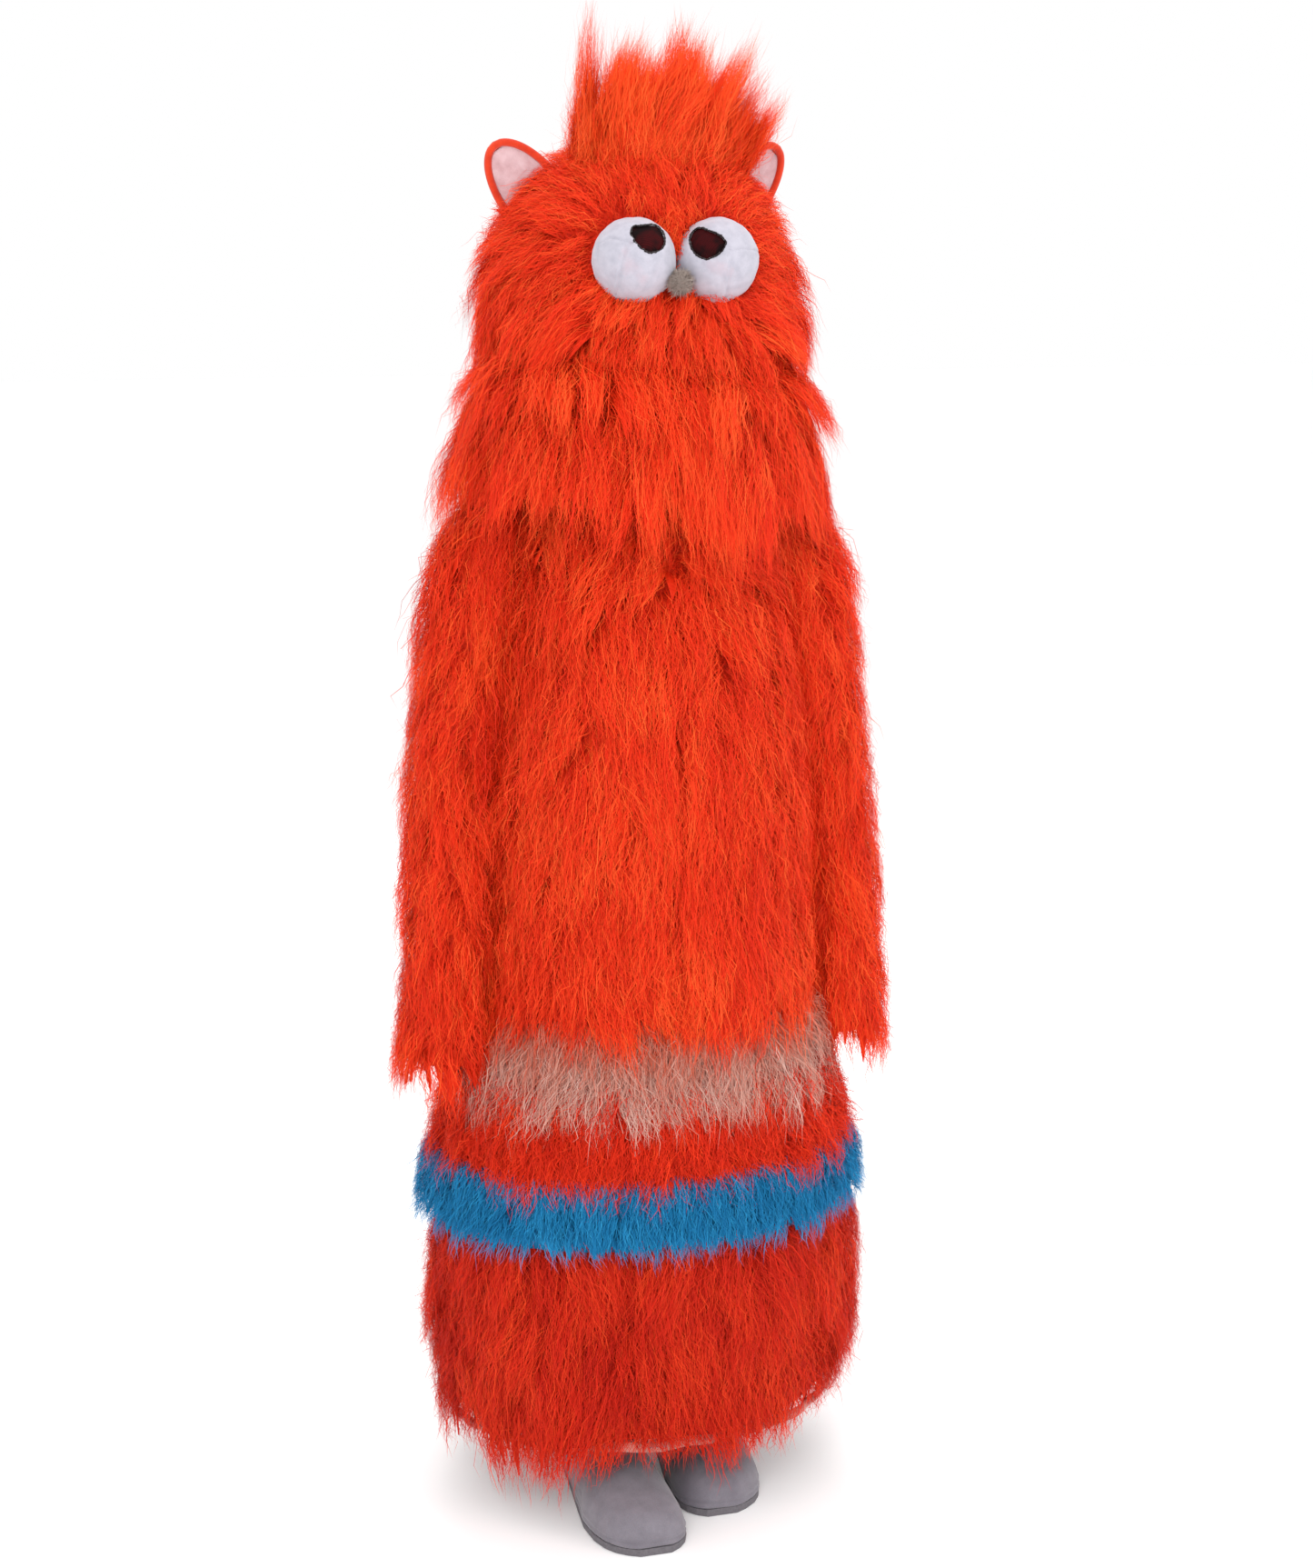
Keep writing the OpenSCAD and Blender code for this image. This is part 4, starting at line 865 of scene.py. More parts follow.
def flat_fill(outline, holes, step, seed):
    rng = np.random.default_rng(seed)
    lo_, hi_ = outline.min(0), outline.max(0)
    g = []
    row = 0
    y = lo_[1]
    while y < hi_[1]:
        xs = np.arange(lo_[0] + (step / 2 if row % 2 else 0), hi_[0], step)
        g += [(x, y) for x in xs]
        y += step * 0.866
        row += 1
    g = np.array(g) + rng.normal(0, step * 0.06, (len(g), 2))
    ok = inside(outline, g) & (line_dist(np.concatenate([outline, outline[:1]]), g) > step * 0.55)
    for h in holes:
        ok &= ~inside(h, g) & (line_dist(np.concatenate([h, h[:1]]), g) > step * 0.45)
    g = g[ok]
    P = [outline] + list(holes) + [g]
    edges, o = [], 0
    for L_ in [outline] + list(holes):
        edges += [(o + i, o + (i + 1) % len(L_)) for i in range(len(L_))]
        o += len(L_)
    V = np.concatenate(P)
    v2, _, f2, _, _, _ = delaunay_2d_cdt([Vector(p) for p in V], edges, [], 0, 1e-7)
    v2 = np.array([tuple(p) for p in v2])
    f2 = np.array([tuple(f) for f in f2])
    cen = v2[f2].mean(1)
    keep = inside(outline, cen)
    for h in holes:
        keep &= ~inside(h, cen)
    f2 = f2[keep]
    a, b, c = v2[f2[:, 0]], v2[f2[:, 1]], v2[f2[:, 2]]
    flip = np.cross(b - a, c - a) < 0
    f2[flip] = f2[flip][:, ::-1]
    return v2, f2


def closed_sheet(outer, inner, faces):
    """Joins two copies of an open sheet into one closed shell."""
    n = len(outer)
    f = [tuple(t) for t in faces] + [tuple(n + i for i in t[::-1]) for t in faces]
    count = {}
    for t in faces:
        for i in range(len(t)):
            e = (t[i], t[(i + 1) % len(t)])
            count[e] = count.get(e, 0) + 1
    for (a, b) in list(count):
        if (b, a) not in count:
            f.append((b, a, a + n, b + n))
    return np.concatenate([outer, inner]), f


def tube_mesh(points, radius, sides=6, closed=False, seed=None, rough=0.0):
    P = np.array(points, float)
    n = len(P)
    T = np.roll(P, -1, 0) - np.roll(P, 1, 0) if closed else np.gradient(P, axis=0)
    T = unit(T)
    ref = np.array([0.0, -1.0, 0.0]) if abs(T[0, 1]) < 0.9 else np.array([1.0, 0, 0])
    rng = np.random.default_rng(seed or 0)
    V = []
    prev = unit(np.cross(T[0], ref))
    for i in range(n):
        x = prev - T[i] * (prev @ T[i])
        x /= np.linalg.norm(x) + 1e-12
        prev = x
        y = np.cross(T[i], x)
        r = (radius[i] if np.ndim(radius) else radius)
        for k in range(sides):
            a = 2 * PI * k / sides
            V.append(P[i] + (math.cos(a) * x + math.sin(a) * y) * r * (1 + rng.normal(0, rough)))
    F = []
    for i in range(n if closed else n - 1):
        j = (i + 1) % n
        for k in range(sides):
            m = (k + 1) % sides
            F.append((i * sides + k, i * sides + m, j * sides + m, j * sides + k))
    if not closed:
        F.append(tuple(range(sides))[::-1])
        F.append(tuple((n - 1) * sides + k for k in range(sides)))
    return np.array(V), F


PUPIL = {
    "right": [(-0.28, 0.68), (-0.19, 0.80), (-0.02, 0.81), (0.20, 0.83), (0.36, 0.84), (0.54, 0.79), (0.61, 0.62), (0.59, 0.48), (0.54, 0.34), (0.40, 0.22), (0.15, 0.16), (-0.03, 0.22), (-0.19, 0.38), (-0.28, 0.53)],
    "left": [(-0.77, 0.56), (-0.70, 0.66), (-0.61, 0.75), (-0.50, 0.77), (-0.35, 0.68), (-0.19, 0.61), (-0.05, 0.46), (-0.04, 0.35), (-0.19, 0.18), (-0.38, 0.06), (-0.52, 0.02), (-0.72, 0.10), (-0.80, 0.26), (-0.81, 0.43)],
}
SEAMS = {
    "right": [[(-0.24, 0.45), (-0.42, 0.33), (-0.52, 0.0), (-0.55, -0.35), (-0.52, -0.80)], [(-0.98, 0.10), (-0.90, 0.38), (-0.72, 0.52), (-0.45, 0.44), (-0.26, 0.40)]],
    "left": [[(-0.02, 0.34), (0.06, 0.21), (0.02, -0.18), (0.02, -0.56), (0.06, -0.95)], [(-0.06, 0.26), (0.14, 0.26), (0.37, 0.28), (0.70, 0.26), (0.96, 0.16)]],
}
for s, side in ((1, "left"), (-1, "right")):
    c = np.array([s * 0.05, -0.152 + Y, 1.566])
    rng = np.random.default_rng(91 + s)
    hole = resample(chaikin(to_plane(PUPIL[side]), 2), 0.035)
    t_ = np.arange(len(hole))
    hole = hole + rng.normal(0, 0.008, hole.shape)
    ts = np.linspace(0, 2 * PI, 121)[:-1]
    outline = 1.86 * np.stack([np.cos(ts), np.sin(ts)], -1)
    v, f = flat_fill(outline, [hole], 0.042, 5)
    seams = [resample(to_plane(p), 0.04, closed=False) for p in SEAMS[side]]
    R = np.full(len(v), EYE_R - 0.0006)
    R = R + 0.0005 * np.sin(v[:, 0] * 5.1 + s) * np.sin(v[:, 1] * 4.3 + 1) + 0.00025 * np.sin(v[:, 0] * 13 + 2) * np.sin(v[:, 1] * 11)
    for sm in seams:
        dd = line_dist(sm, v)
        R = R - 0.0013 * np.exp(-(dd / 0.030) ** 2) + 0.0005 * np.exp(-((dd - 0.09) / 0.05) ** 2)
    back_ = np.clip((np.linalg.norm(v, axis=1) - 1.5) / 0.36, 0, 1)
    R = R * (1 - 0.02 * back_ ** 2)
    eh = line_dist(np.concatenate([hole, hole[:1]]), v)
    R = R - 0.0008 * np.exp(-(eh / 0.03) ** 2)
    V, F = closed_sheet(on_ball(v, c, R), on_ball(v, c, R - 0.0014), f)
    o = smooth(new_mesh("eye_dome_cloth_" + side, V, F))
    dress(o, M["fleece"])
    piece(o, "head", "eye_dome_" + side, slot="white_fleece")
    rim = resample(hole, 0.02)
    rim = rim + rng.normal(0, 0.006, rim.shape)
    V, F = tube_mesh(on_ball(rim, c, EYE_R - 0.0016), 0.00095, 6, closed=True, seed=3 + s, rough=0.35)
    o = smooth(new_mesh("pupil_edge_" + side, V, F))
    dress(o, M["black_edge"])
    piece(o, "head", slot="mouth_cloth")
    cen = hole.mean(0)
    big = cen + (chaikin(to_plane(PUPIL[side]), 2) - cen) * 1.16
    v, f = flat_fill(resample(big, 0.06), [], 0.06, 6)
    V, F = closed_sheet(on_ball(v, c, np.full(len(v), EYE_R - 0.0035)), on_ball(v, c, np.full(len(v), EYE_R - 0.0042)), f)
    o = smooth(new_mesh("pupil_net_" + side, V, F))
    dress(o, M["net"])
    piece(o, "head", "pupil_mesh_" + side, slot="pupil_mesh")


def sphere_points(n):
    i = np.arange(n) + 0.5
    z = 1 - 2 * i / n
    r = np.sqrt(1 - z * z)
    a = i * 2.399963
    return np.stack([r * np.cos(a), r * np.sin(a), z], -1)


nc = np.array([-0.003, -0.1815, 1.541])
bm = bmesh.new()
bmesh.ops.create_icosphere(bm, subdivisions=4, radius=0.0112)
for v in bm.verts:
    q = v.co.normalized()
    v.co = v.co * (1 + 0.02 * math.sin(q.x * 9 + 1) * math.sin(q.z * 8)) * (1 - 0.05 * (q.y > 0)) + Vector(nc)
nv_ = np.array([tuple(v.co) for v in bm.verts])
nf_ = [tuple(v.index for v in f.verts) for f in bm.faces]
bm.free()
u = sphere_points(5200)
nn = u
nd = unit(np.cross(u, [0.3, 1, 0.2]) + 0.3 * np.random.default_rng(4).normal(0, 1, u.shape))
lk = sphere_points(120)
lkd = unit(np.cross(lk, [0.3, 1, 0.2]))
tf = sphere_points(700)
tfd = unit(np.cross(tf, [0.3, 1, 0.2]))
ball = [tuple(t) + (t[2],) for t in nf_]
nose_fuzz = fur("nose_felt", FUR["grey"], (nc + u * 0.0110, nn, nd), (nc + lk * 0.0110, lk, lkd), (nc + tf * 0.0110, tf, tfd), 0.0015, 95, grav=0.1, width=0.00045, lift=1.2,
                wave=(0.4, 0.5), pull=(0.1, 0.2), ragged=0.001, fuzz=0.0, lenvar=0.3, blade=0, frizz=0.0002)
piece(nose_fuzz, "head", "nose_ball", slot="grey_felt")
nose = smooth(new_mesh("nose_core", nv_ + np.array([0, Y, 0]), nf_))
dress(nose, cloth("nose_cloth", rgb(132, 120, 114), rgb(150, 139, 132), 1800, 0.6))
piece(nose, "head", slot="grey_felt")


# ------------------------------------------------------------------ ears
def ear_mat(s):
    a, b = math.radians(s * 38), math.radians(s * 25)
    Ry = np.array([[math.cos(a), 0, math.sin(a)], [0, 1, 0], [-math.sin(a), 0, math.cos(a)]])
    Rz = np.array([[math.cos(b), -math.sin(b), 0], [math.sin(b), math.cos(b), 0], [0, 0, 1]])
    return Ry @ Rz, np.array([s * 0.112, 0.006 + Y, 1.619])


EL, EW = 0.103, 0.078


def ear_half(t):
    return EW / 2 * np.clip(1 - np.clip(t, 0, 1) ** 2.6, 0, 1) ** 0.52 * (0.86 + 0.14 * np.clip(t / 0.25, 0, 1))


def ear_cup(u_, t, s):
    """How far forward (towards -Y) the ear's front lies: the rim stands forward and the middle dips."""
    dish = 0.0085 * (1 - u_ ** 2) * np.clip(1 - (t - 0.35) ** 2 * 1.6, 0, 1)
    crease = 0.0028 * np.exp(-((u_ + 0.12 * s - 0.15 * np.sin(t * 3)) / 0.16) ** 2) * np.clip(1.1 - t * 1.3, 0, 1)
    crease2 = 0.0016 * np.exp(-((u_ - 0.42 + 0.1 * t) / 0.10) ** 2) * np.clip(1 - t * 1.4, 0, 1)
    return -0.0045 + dish - crease - crease2


for s, side in ((1, "left"), (-1, "right")):
    Rm, Tm = ear_mat(s)
    nu, nt_ = 25, 34
    U, T_ = np.meshgrid(np.linspace(-1, 1, nu), np.linspace(0, 1, nt_) ** 0.9)
    hw = ear_half(T_) + 0.0005
    base = np.stack([U * hw, ear_cup(U, T_, s), T_ * EL], -1)
    bk_ = base.copy()
    bk_[..., 1] += 0.0025 + 0.0048 * (1 - U ** 2)
    idx = np.arange(nu * nt_).reshape(nt_, nu)
    quads = [(idx[i, j], idx[i, j + 1], idx[i + 1, j + 1], idx[i + 1, j]) for i in range(nt_ - 1) for j in range(nu - 1)]
    V, F = closed_sheet(base.reshape(-1, 3), bk_.reshape(-1, 3), quads)
    core = smooth(new_mesh("ear_felt_" + side, V @ Rm.T + Tm, F))
    # soft rolled rim
    tt = np.concatenate([np.linspace(0, 1, 60), np.linspace(1, 0, 60)[1:]])
    sg = np.concatenate([np.full(60, -1.0), np.full(59, 1.0)])
    hw1 = ear_half(tt)
    rimp = np.stack([sg * hw1, ear_cup(sg, tt, s) + 0.0005, tt * EL], -1)
    keep_ = np.concatenate([[True], np.linalg.norm(np.diff(rimp, axis=0), axis=1) > 0.0004])
    rimp = rimp[keep_]
    Vr, Fr = tube_mesh(rimp, 0.0047, 10)
    rimo = smooth(new_mesh("ear_rim_" + side, Vr @ Rm.T + Tm, Fr))
    dress(rimo, cloth("ear_rim_felt", rgb(196, 46, 18), rgb(220, 64, 28), 1500, 0.5))
    dress(core, rimo.data.materials[0])
    piece(core, "head", "ear_" + side, slot="orange_fur")
    piece(rimo, "head", slot="orange_fur")
    # lining
    sel = U * 0.86
    hw2 = ear_half(T_ * 0.93)
    lin_ = np.stack([sel * hw2, ear_cup(sel, T_ * 0.93, s) - 0.0012 + 0.0005 * np.sin(U * 17 + T_ * 9) * (1 - T_), T_ * EL * 0.94], -1)
    lb = lin_.copy()
    lb[..., 1] += 0.0012
    V, F = closed_sheet(lin_.reshape(-1, 3), lb.reshape(-1, 3), quads)
    lo_ = smooth(new_mesh("ear_lining_cloth_" + side, V @ Rm.T + Tm, F))
    dress(lo_, M["ear_cloth"])
    piece(lo_, "head", "ear_lining_" + side, slot="white_fleece")
    # short pile on the rim and back, longer wisps at the base
    rng = np.random.default_rng(96 + s)
    m = 40
    k = rng.integers(0, 9, m)
    ang = rng.uniform(0, 2 * PI, m)
    tang = unit(np.gradient(rimp, axis=0))[k]
    e1 = unit(np.cross(tang, [0.0, 1.0, 0.0]))
    e2 = np.cross(tang, e1)
    nrm = np.cos(ang)[:, None] * e1 + np.sin(ang)[:, None] * e2
    pr = rimp[k] + nrm * 0.0040 + tang * rng.uniform(-0.001, 0.001, (m, 1))
    mb = 2200
    ub, tb = rng.uniform(-0.95, 0.95, mb), rng.uniform(0, 0.30, mb)
    pb = np.stack([ub * ear_half(tb), ear_cup(ub, tb, s) + 0.0022 + 0.0048 * (1 - ub ** 2), tb * EL], -1)
    nb = unit(np.stack([ub * 0.5, np.ones(mb), np.zeros(mb)], -1))
    mw = 420
    uw, tw = rng.uniform(-1, 1, mw), rng.uniform(0, 0.08, mw)
    pw = np.stack([uw * ear_half(tw), ear_cup(uw, tw, s) - 0.002, tw * EL], -1)
    nw = unit(np.stack([uw * 0.2, -np.ones(mw), np.full(mw, 0.4)], -1))
    PP, NN = np.concatenate([pr, pb]), np.concatenate([nrm, nb])
    DD = unit(np.cross(np.cross(NN, np.array([0, 0.05, 1.0])), NN) + rng.normal(0, 0.25, NN.shape))
    PP, NN, DD = PP @ Rm.T + Tm - np.array([0, Y, 0]), NN @ Rm.T, DD @ Rm.T
    pick = rng.permutation(len(PP))
    o = fur("ear_pile_" + side, orange, (PP, NN, DD), (PP[pick[:90]], NN[pick[:90]], DD[pick[:90]]), (PP[pick[:600]], NN[pick[:600]], DD[pick[:600]]), 0.030, 97 + s, grav=0.05,
            width=0.0007, lift=0.6, wave=(0.3, 0.4), pull=(0.15, 0.35), ragged=0.001, fuzz=0.05, lenvar=0.35, blade=0, frizz=0.0008)
    piece(o, "head", slot="orange_fur")
    WD = unit(np.stack([rng.normal(0, 0.25, mw), np.full(mw, -0.2), np.ones(mw)], -1))
    pw, nw, WD = pw @ Rm.T + Tm - np.array([0, Y, 0]), nw @ Rm.T, WD @ Rm.T
    o = fur("ear_wisps_" + side, orange, (pw, nw, WD), (pw[:12], nw[:12], WD[:12]), (pw[:40], nw[:40], WD[:40]), 0.036, 98 + s, grav=0.0, width=0.0008, lift=0.5,
            wave=(0.25, 0.35), pull=(0.1, 0.3), ragged=0.002, fuzz=0.2, lenvar=0.3, blade=0, frizz=0.001)
    piece(o, "head", slot="orange_fur")


# ------------------------------------------------------------------ foam pads in the sleeve heads
for s, side in ((1, "left"), (-1, "right")):
    U, T_ = np.meshgrid(np.linspace(0, 2 * PI, 49)[:-1], np.linspace(0.06, 1, 16) * PI * 0.52)
    puff = 1 + 0.012 * np.sin(U * 5 + T_ * 7 + s) + 0.02 * np.cos(T_ * 6)
    shell = [np.stack([s * 0.194 + r_ * puff * np.sin(T_) * np.cos(U), Y + r_ * 1.06 * puff * np.sin(T_) * np.sin(U), 1.208 + r_ * puff * np.cos(T_)], -1).reshape(-1, 3) for r_ in (0.042, 0.034)]
    gi = np.arange(16 * 48).reshape(16, 48)
    quads = [(gi[i, j], gi[i + 1, j], gi[i + 1, (j + 1) % 48], gi[i, (j + 1) % 48]) for i in range(15) for j in range(48)]
    V, F = closed_sheet(shell[0], shell[1], quads)
    o = smooth(new_mesh("sleeve_head_pad_" + side, V, F))
    dress(o, M["lining"])
    piece(o, "shoulder_" + side, "shoulder_pad_" + side)

# ------------------------------------------------------------------ legs, shoes
ANK = {"left": 0.026, "right": -0.048}
SHOE = np.array([[0, 44, 40, 0], [6, 58, 56, 0], [16, 72, 70, 0], [40, 84, 82, 0], [75, 90, 84, 0], [112, 97, 78, 0], [155, 108, 67, 1], [200, 118, 57, 2],
                 [236, 116, 50, 5], [258, 106, 45, 8], [272, 90, 41, 10], [283, 66, 34, 12], [289, 42, 26, 13]], float) / 1000


def shoe_mesh(s, side):
    foot_x, ay = 0.068, ANK[side]
    dist = np.concatenate([np.linspace(0, 0.02, 7)[:-1], np.linspace(0.02, 0.25, 36)[:-1], np.linspace(0.25, 0.289, 11)])
    w, h, sh = (np.interp(dist, SHOE[:, 0], SHOE[:, i]) for i in (1, 2, 3))
    n = 40
    V = []
    for i, dd in enumerate(dist):
        th = np.linspace(0, PI, n + 1)
        cx = s * foot_x - s * sh[i]
        x = cx + w[i] / 2 * spw(np.cos(th), 2.7)
        z = 0.0094 + h[i] * spw(np.sin(th), 2.4)
        V.append(np.stack([x, np.full(n + 1, ay + 0.075 - dd), z], -1))
    V = np.array(V)
    m = len(dist)
    idx = np.arange(m * (n + 1)).reshape(m, n + 1)
    F = [(idx[i, j], idx[i + 1, j], idx[i + 1, j + 1], idx[i, j + 1]) for i in range(m - 1) for j in range(n)]
    F += [(idx[i, 0], idx[i, n], idx[i + 1, n], idx[i + 1, 0]) for i in range(m - 1)]
    F.append(tuple(idx[0, ::1]))
    F.append(tuple(idx[-1, ::-1]))
    body = V.reshape(-1, 3)
    # cuff
    zs_ = np.linspace(0.055, 0.168, 16)
    rr = np.interp(zs_, [0.055, 0.085, 0.10, 0.12, 0.168], [0.036, 0.043, 0.0485, 0.053, 0.0545])
    cu = []
    for z_, r_ in zip(zs_, rr):
        a_ = np.linspace(0, 2 * PI, 49)[:-1]
        yy = ay + (-0.011 - ay) * 0 + 0.004
        cu.append(np.stack([s * foot_x + r_ * np.cos(a_), yy + r_ * np.sin(a_) + 0.002, np.full(48, z_)], -1))
    cu = np.array(cu).reshape(-1, 3)
    o0 = len(body)
    ci = np.arange(16 * 48).reshape(16, 48) + o0
    F2 = [(ci[i, j], ci[i, (j + 1) % 48], ci[i + 1, (j + 1) % 48], ci[i + 1, j]) for i in range(15) for j in range(48)]
    F2.append(tuple(ci[0, ::-1]))
    F2.append(tuple(ci[-1]))
    o = new_mesh("shoe_cloth_" + side, np.concatenate([body, cu]) + np.array([0, Y, 0]), F + F2)
    bm = bmesh.new()
    bm.from_mesh(o.data)
    bmesh.ops.recalc_face_normals(bm, faces=bm.faces)
    bm.to_mesh(o.data)
    bm.free()
    md = o.modifiers.new("r", "REMESH")
    md.mode, md.voxel_size, md.use_smooth_shade = "VOXEL", 0.0026, True
    sm_ = o.modifiers.new("s", "SMOOTH")
    sm_.factor, sm_.iterations = 0.5, 8
    dg = bpy.context.evaluated_depsgraph_get()
    me = bpy.data.meshes.new_from_object(o.evaluated_get(dg))
    o.modifiers.clear()
    old = o.data
    o.data = me
    bpy.data.meshes.remove(old)
    bm = bmesh.new()
    bm.from_mesh(o.data)
    top = [f for f in bm.faces if f.calc_center_median().z > 0.1655]
    bmesh.ops.delete(bm, geom=top, context="FACES")
    nrm = {v: v.normal.copy() for v in bm.verts}
    ay2 = ay + Y
    for v in bm.verts:
        x, y, z = v.co
        dn = ay2 + 0.075 - y                    # from the heel
        k = 0.0
        # bottom seam: a pinched line with a thin welt under it
        if z < 0.03:
            k += -0.0013 * math.exp(-((z - 0.0165) / 0.0018) ** 2) + 0.0010 * math.exp(-((z - 0.0205) / 0.0025) ** 2) + 0.0012 * math.exp(-((z - 0.0120) / 0.0022) ** 2)
        # crease ridges over the vamp, and slack folds at the ankle
        vamp = math.exp(-((dn - 0.150 - 0.10 * (x - s * foot_x)) / 0.008) ** 2) * (z > 0.035)
        k += 0.0022 * vamp - 0.0014 * math.exp(-((dn - 0.166) / 0.010) ** 2) * (z > 0.03)
        if z > 0.085:
            a_ = math.atan2(y - ay2, x - s * foot_x)
            k += 0.0016 * math.sin(z * 210 + 1.3 * math.sin(a_ * 2 + s) + a_) * min(1, (z - 0.085) / 0.02)
        k += 0.0007 * math.sin(x * 61 + y * 37) * math.sin(y * 49 - z * 55 + s)
        v.co += nrm[v] * k
        v.co.z = max(v.co.z, 0.0095)
    bm.normal_update()
    bm.to_mesh(o.data)
    bm.free()
    sol = o.modifiers.new("t", "SOLIDIFY")
    sol.thickness, sol.offset = 0.0018, -1
    dg = bpy.context.evaluated_depsgraph_get()
    me = bpy.data.meshes.new_from_object(o.evaluated_get(dg))
    o.modifiers.clear()
    old = o.data
    o.data = me
    bpy.data.meshes.remove(old)
    smooth(o)
    return o


for s, side in ((1, "left"), (-1, "right")):
    ay = ANK[side]
    o = shoe_mesh(s, side)
    dress(o, M["suede"])
    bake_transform(o)
    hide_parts("shoe_upper_" + side)
    made.append(o)
    # sole with rounded edge
    foot_x = 0.068
    dist = np.concatenate([np.linspace(0, 0.012, 6), np.linspace(0.012, 0.25, 50)[1:], np.linspace(0.25, 0.2895, 12)[1:]])
    w = np.interp(dist, SHOE[:, 0], SHOE[:, 1]) * 0.985
    sh = np.interp(dist, SHOE[:, 0], SHOE[:, 3])
    rows = []
    for lv, (zz_, gr) in enumerate([(0.0010, -0.0016), (0.0, -0.0030), (0.0, -0.008)]):
        pass
    prof = [(0.0094, 0.0), (0.0085, 0.0008), (0.0045, 0.0012), (0.0012, 0.0006), (0.0, -0.0012)]
    Vs, nring = [], len(dist) * 2
    for zz_, g in prof:
        left_ = np.stack([s * foot_x - s * sh - (w / 2 + g), ay + 0.075 - dist, np.full(len(dist), zz_)], -1)
        right_ = np.stack([s * foot_x - s * sh + (w / 2 + g), ay + 0.075 - dist, np.full(len(dist), zz_)], -1)[::-1]
        Vs.append(np.concatenate([left_, right_]))
    Vs = np.array(Vs)
    ri = np.arange(len(prof) * nring).reshape(len(prof), nring)
    Fs = [(ri[i, j], ri[i, (j + 1) % nring], ri[i + 1, (j + 1) % nring], ri[i + 1, j]) for i in range(len(prof) - 1) for j in range(nring)]
    m_ = len(dist)
    for lv, rev in ((0, False), (len(prof) - 1, True)):
        for i in range(m_ - 1):
            q = (ri[lv, i], ri[lv, i + 1], ri[lv, nring - 2 - i], ri[lv, nring - 1 - i])
            Fs.append(q if rev else q[::-1])
    Vs = Vs.reshape(-1, 3) + np.array([0, Y, 0])
    o = new_mesh("shoe_sole_tread_" + side, Vs, Fs)
    bm = bmesh.new()
    bm.from_mesh(o.data)
    bmesh.ops.recalc_face_normals(bm, faces=bm.faces)
    bm.to_mesh(o.data)
    bm.free()
    dress(o, M["sole"])
    piece(o, "shoe_" + side, "shoe_sole_" + side, slot="sole_rubber")
    # leg cover: slack cloth tube
    lz = np.linspace(0.118, 0.848, 110)
    th = np.linspace(0, 2 * PI, 49)[:-1]
    p0, p1 = np.array([s * .068, ay, .113]), np.array([s * .075, -.008, .85])
    f_ = (lz - 0.113) / (0.85 - 0.113)
    cl = p0 + f_[:, None] * (p1 - p0)
    TH, LZ = np.meshgrid(th, lz)
    rr = (0.050 + 0.016 * f_)[:, None] + 0.0016 * np.sin(LZ * 62 + 1.5 * np.sin(TH * 2 + s) + TH) * np.exp(-((LZ - 0.25) / 0.35) ** 2) + 0.0008 * np.sin(TH * 5 + LZ * 20)
    Vl = np.stack([cl[:, 0][:, None] + rr * np.cos(TH), cl[:, 1][:, None] + rr * np.sin(TH), LZ], -1)
    Vi = np.stack([cl[:, 0][:, None] + (rr - 0.002) * np.cos(TH), cl[:, 1][:, None] + (rr - 0.002) * np.sin(TH), LZ], -1)
    ii = np.arange(110 * 48).reshape(110, 48)
    Fq = [(ii[i, j], ii[i, (j + 1) % 48], ii[i + 1, (j + 1) % 48], ii[i + 1, j]) for i in range(109) for j in range(48)]
    V, F = closed_sheet(Vl.reshape(-1, 3), Vi.reshape(-1, 3), Fq)
    o = smooth(new_mesh("leg_cloth_" + side, V + np.array([0, Y, 0]), F))
    dress(o, M["suede"])
    piece(o, "leg_" + side, "leg_cover_" + side, slot="shoe_suede")

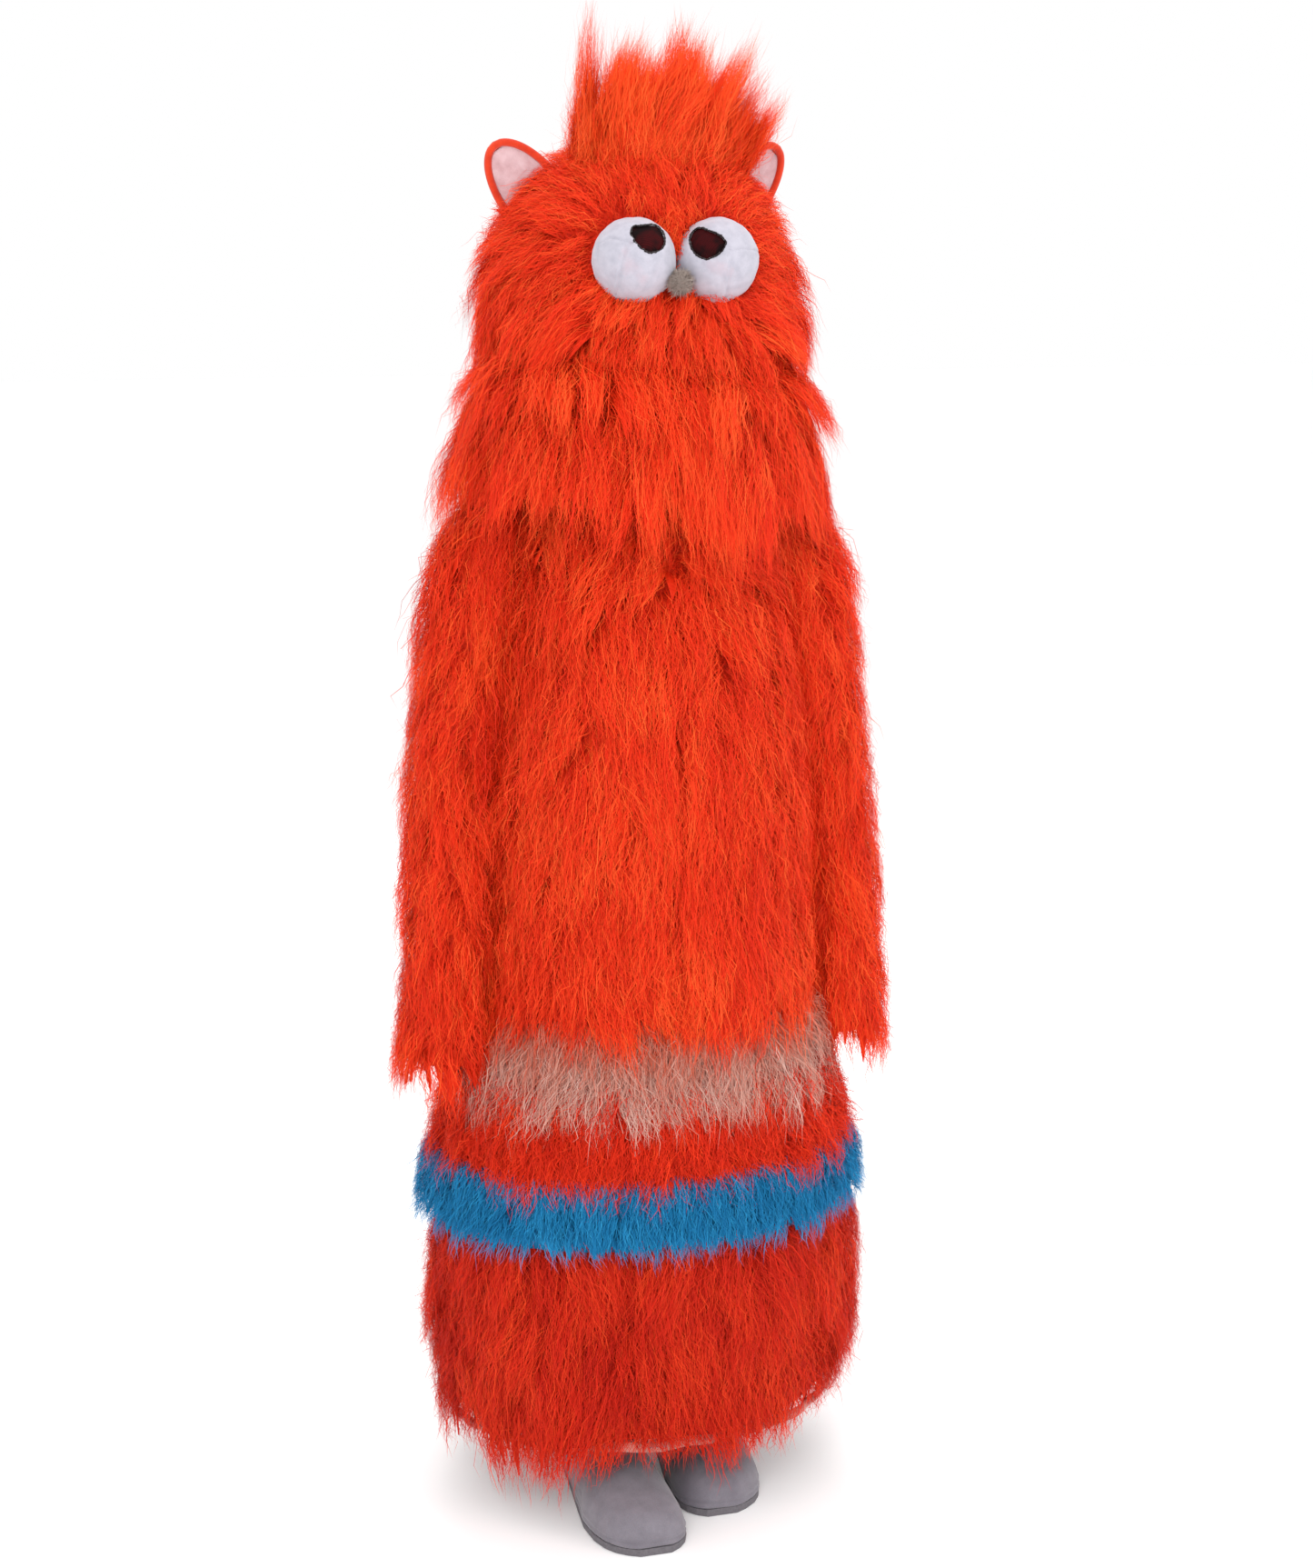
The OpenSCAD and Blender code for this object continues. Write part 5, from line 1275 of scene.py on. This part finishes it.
# ------------------------------------------------------------------ hem binding
th = np.linspace(0, 2 * PI, 361)[:-1]
wz = 0.0016 * np.sin(th * 9 + 1) + 0.0010 * np.sin(th * 23)
wr = 0.0012 * np.sin(th * 13) + 0.0008 * np.sin(th * 31 + 2)
prof = [(0.0, 0.0), (0.0016, 0.002), (0.0018, 0.008), (0.0010, 0.0135), (-0.0012, 0.0135), (-0.0016, 0.006), (-0.0014, 0.001)]
V = []
for t_, a_, b_ in zip(th, wz, wr):
    for r_, z_ in prof:
        V.append(((0.2565 + b_ + r_) * math.cos(t_), (0.1945 + b_ + r_) * math.sin(t_) + Y, 0.103 + a_ + z_))
m_ = len(prof)
F = [(i * m_ + k, ((i + 1) % 360) * m_ + k, ((i + 1) % 360) * m_ + (k + 1) % m_, i * m_ + (k + 1) % m_) for i in range(360) for k in range(m_)]
o = smooth(new_mesh("hem_tape", V, F))
dress(o, M["binding"])
piece(o, "robe", "hem_binding", slot="binding")
SV, SF = [], []
for i in range(0, 360, 2):
    t0, t1 = th[i], th[i] + 0.020
    P = []
    for t_ in np.linspace(t0, t1, 4):
        P.append(((0.2590 + 0.0004) * math.cos(t_), (0.1970 + 0.0004) * math.sin(t_) + Y, 0.1105 + 0.0016 * math.sin(t_ * 9 + 1)))
    v_, f_ = tube_mesh(P, 0.00055, 5)
    SF += [tuple(len(SV) + k for k in t) for t in f_]
    SV += [tuple(q) for q in v_]
o = smooth(new_mesh("hem_stitches", SV, SF))
dress(o, M["seam_grey"])
piece(o, "robe", slot="binding")

# ------------------------------------------------------------------ carried-over CAD nodes
CAD = {
    "zipper_chain": "coil", "zipper_slider": "zip", "zipper_pull": "zip", "hoop_chest": "boning", "hoop_waist": "boning", "hoop_band": "boning", "hoop_hem": "boning",
    "hoop_tapes": "webbing", "harness_pads": "foam", "harness_straps": "webbing", "waist_belt": "webbing", "belt_buckle": "plastic", "trouser_seat": "suede",
    "mane_collar": "foam", "neck_gaiter": "lining", "head_shell": "foam", "headband": "plastic", "crown_straps": "webbing", "foam_spacers": "foam",
    "upper_mouth_plate": "mouth", "jaw_hinge_brackets": "steel", "jaw_hinge_pins": "steel", "jaw_elastics": "elastic", "jaw_plate": "mouth", "jaw_shell": "foam",
    "chin_cup": "plastic",
}
for n, m in CAD.items():
    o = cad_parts[n]
    if not o.material_slots:
        o.data.materials.append(M[m])
    for sl_ in o.material_slots:
        sl_.material = M[m]

for o in made:
    print("piece", o.name, len(o.data.polygons))
print("faces", sum(len(o.data.polygons) for o in made))
bpy.context.view_layer.update()
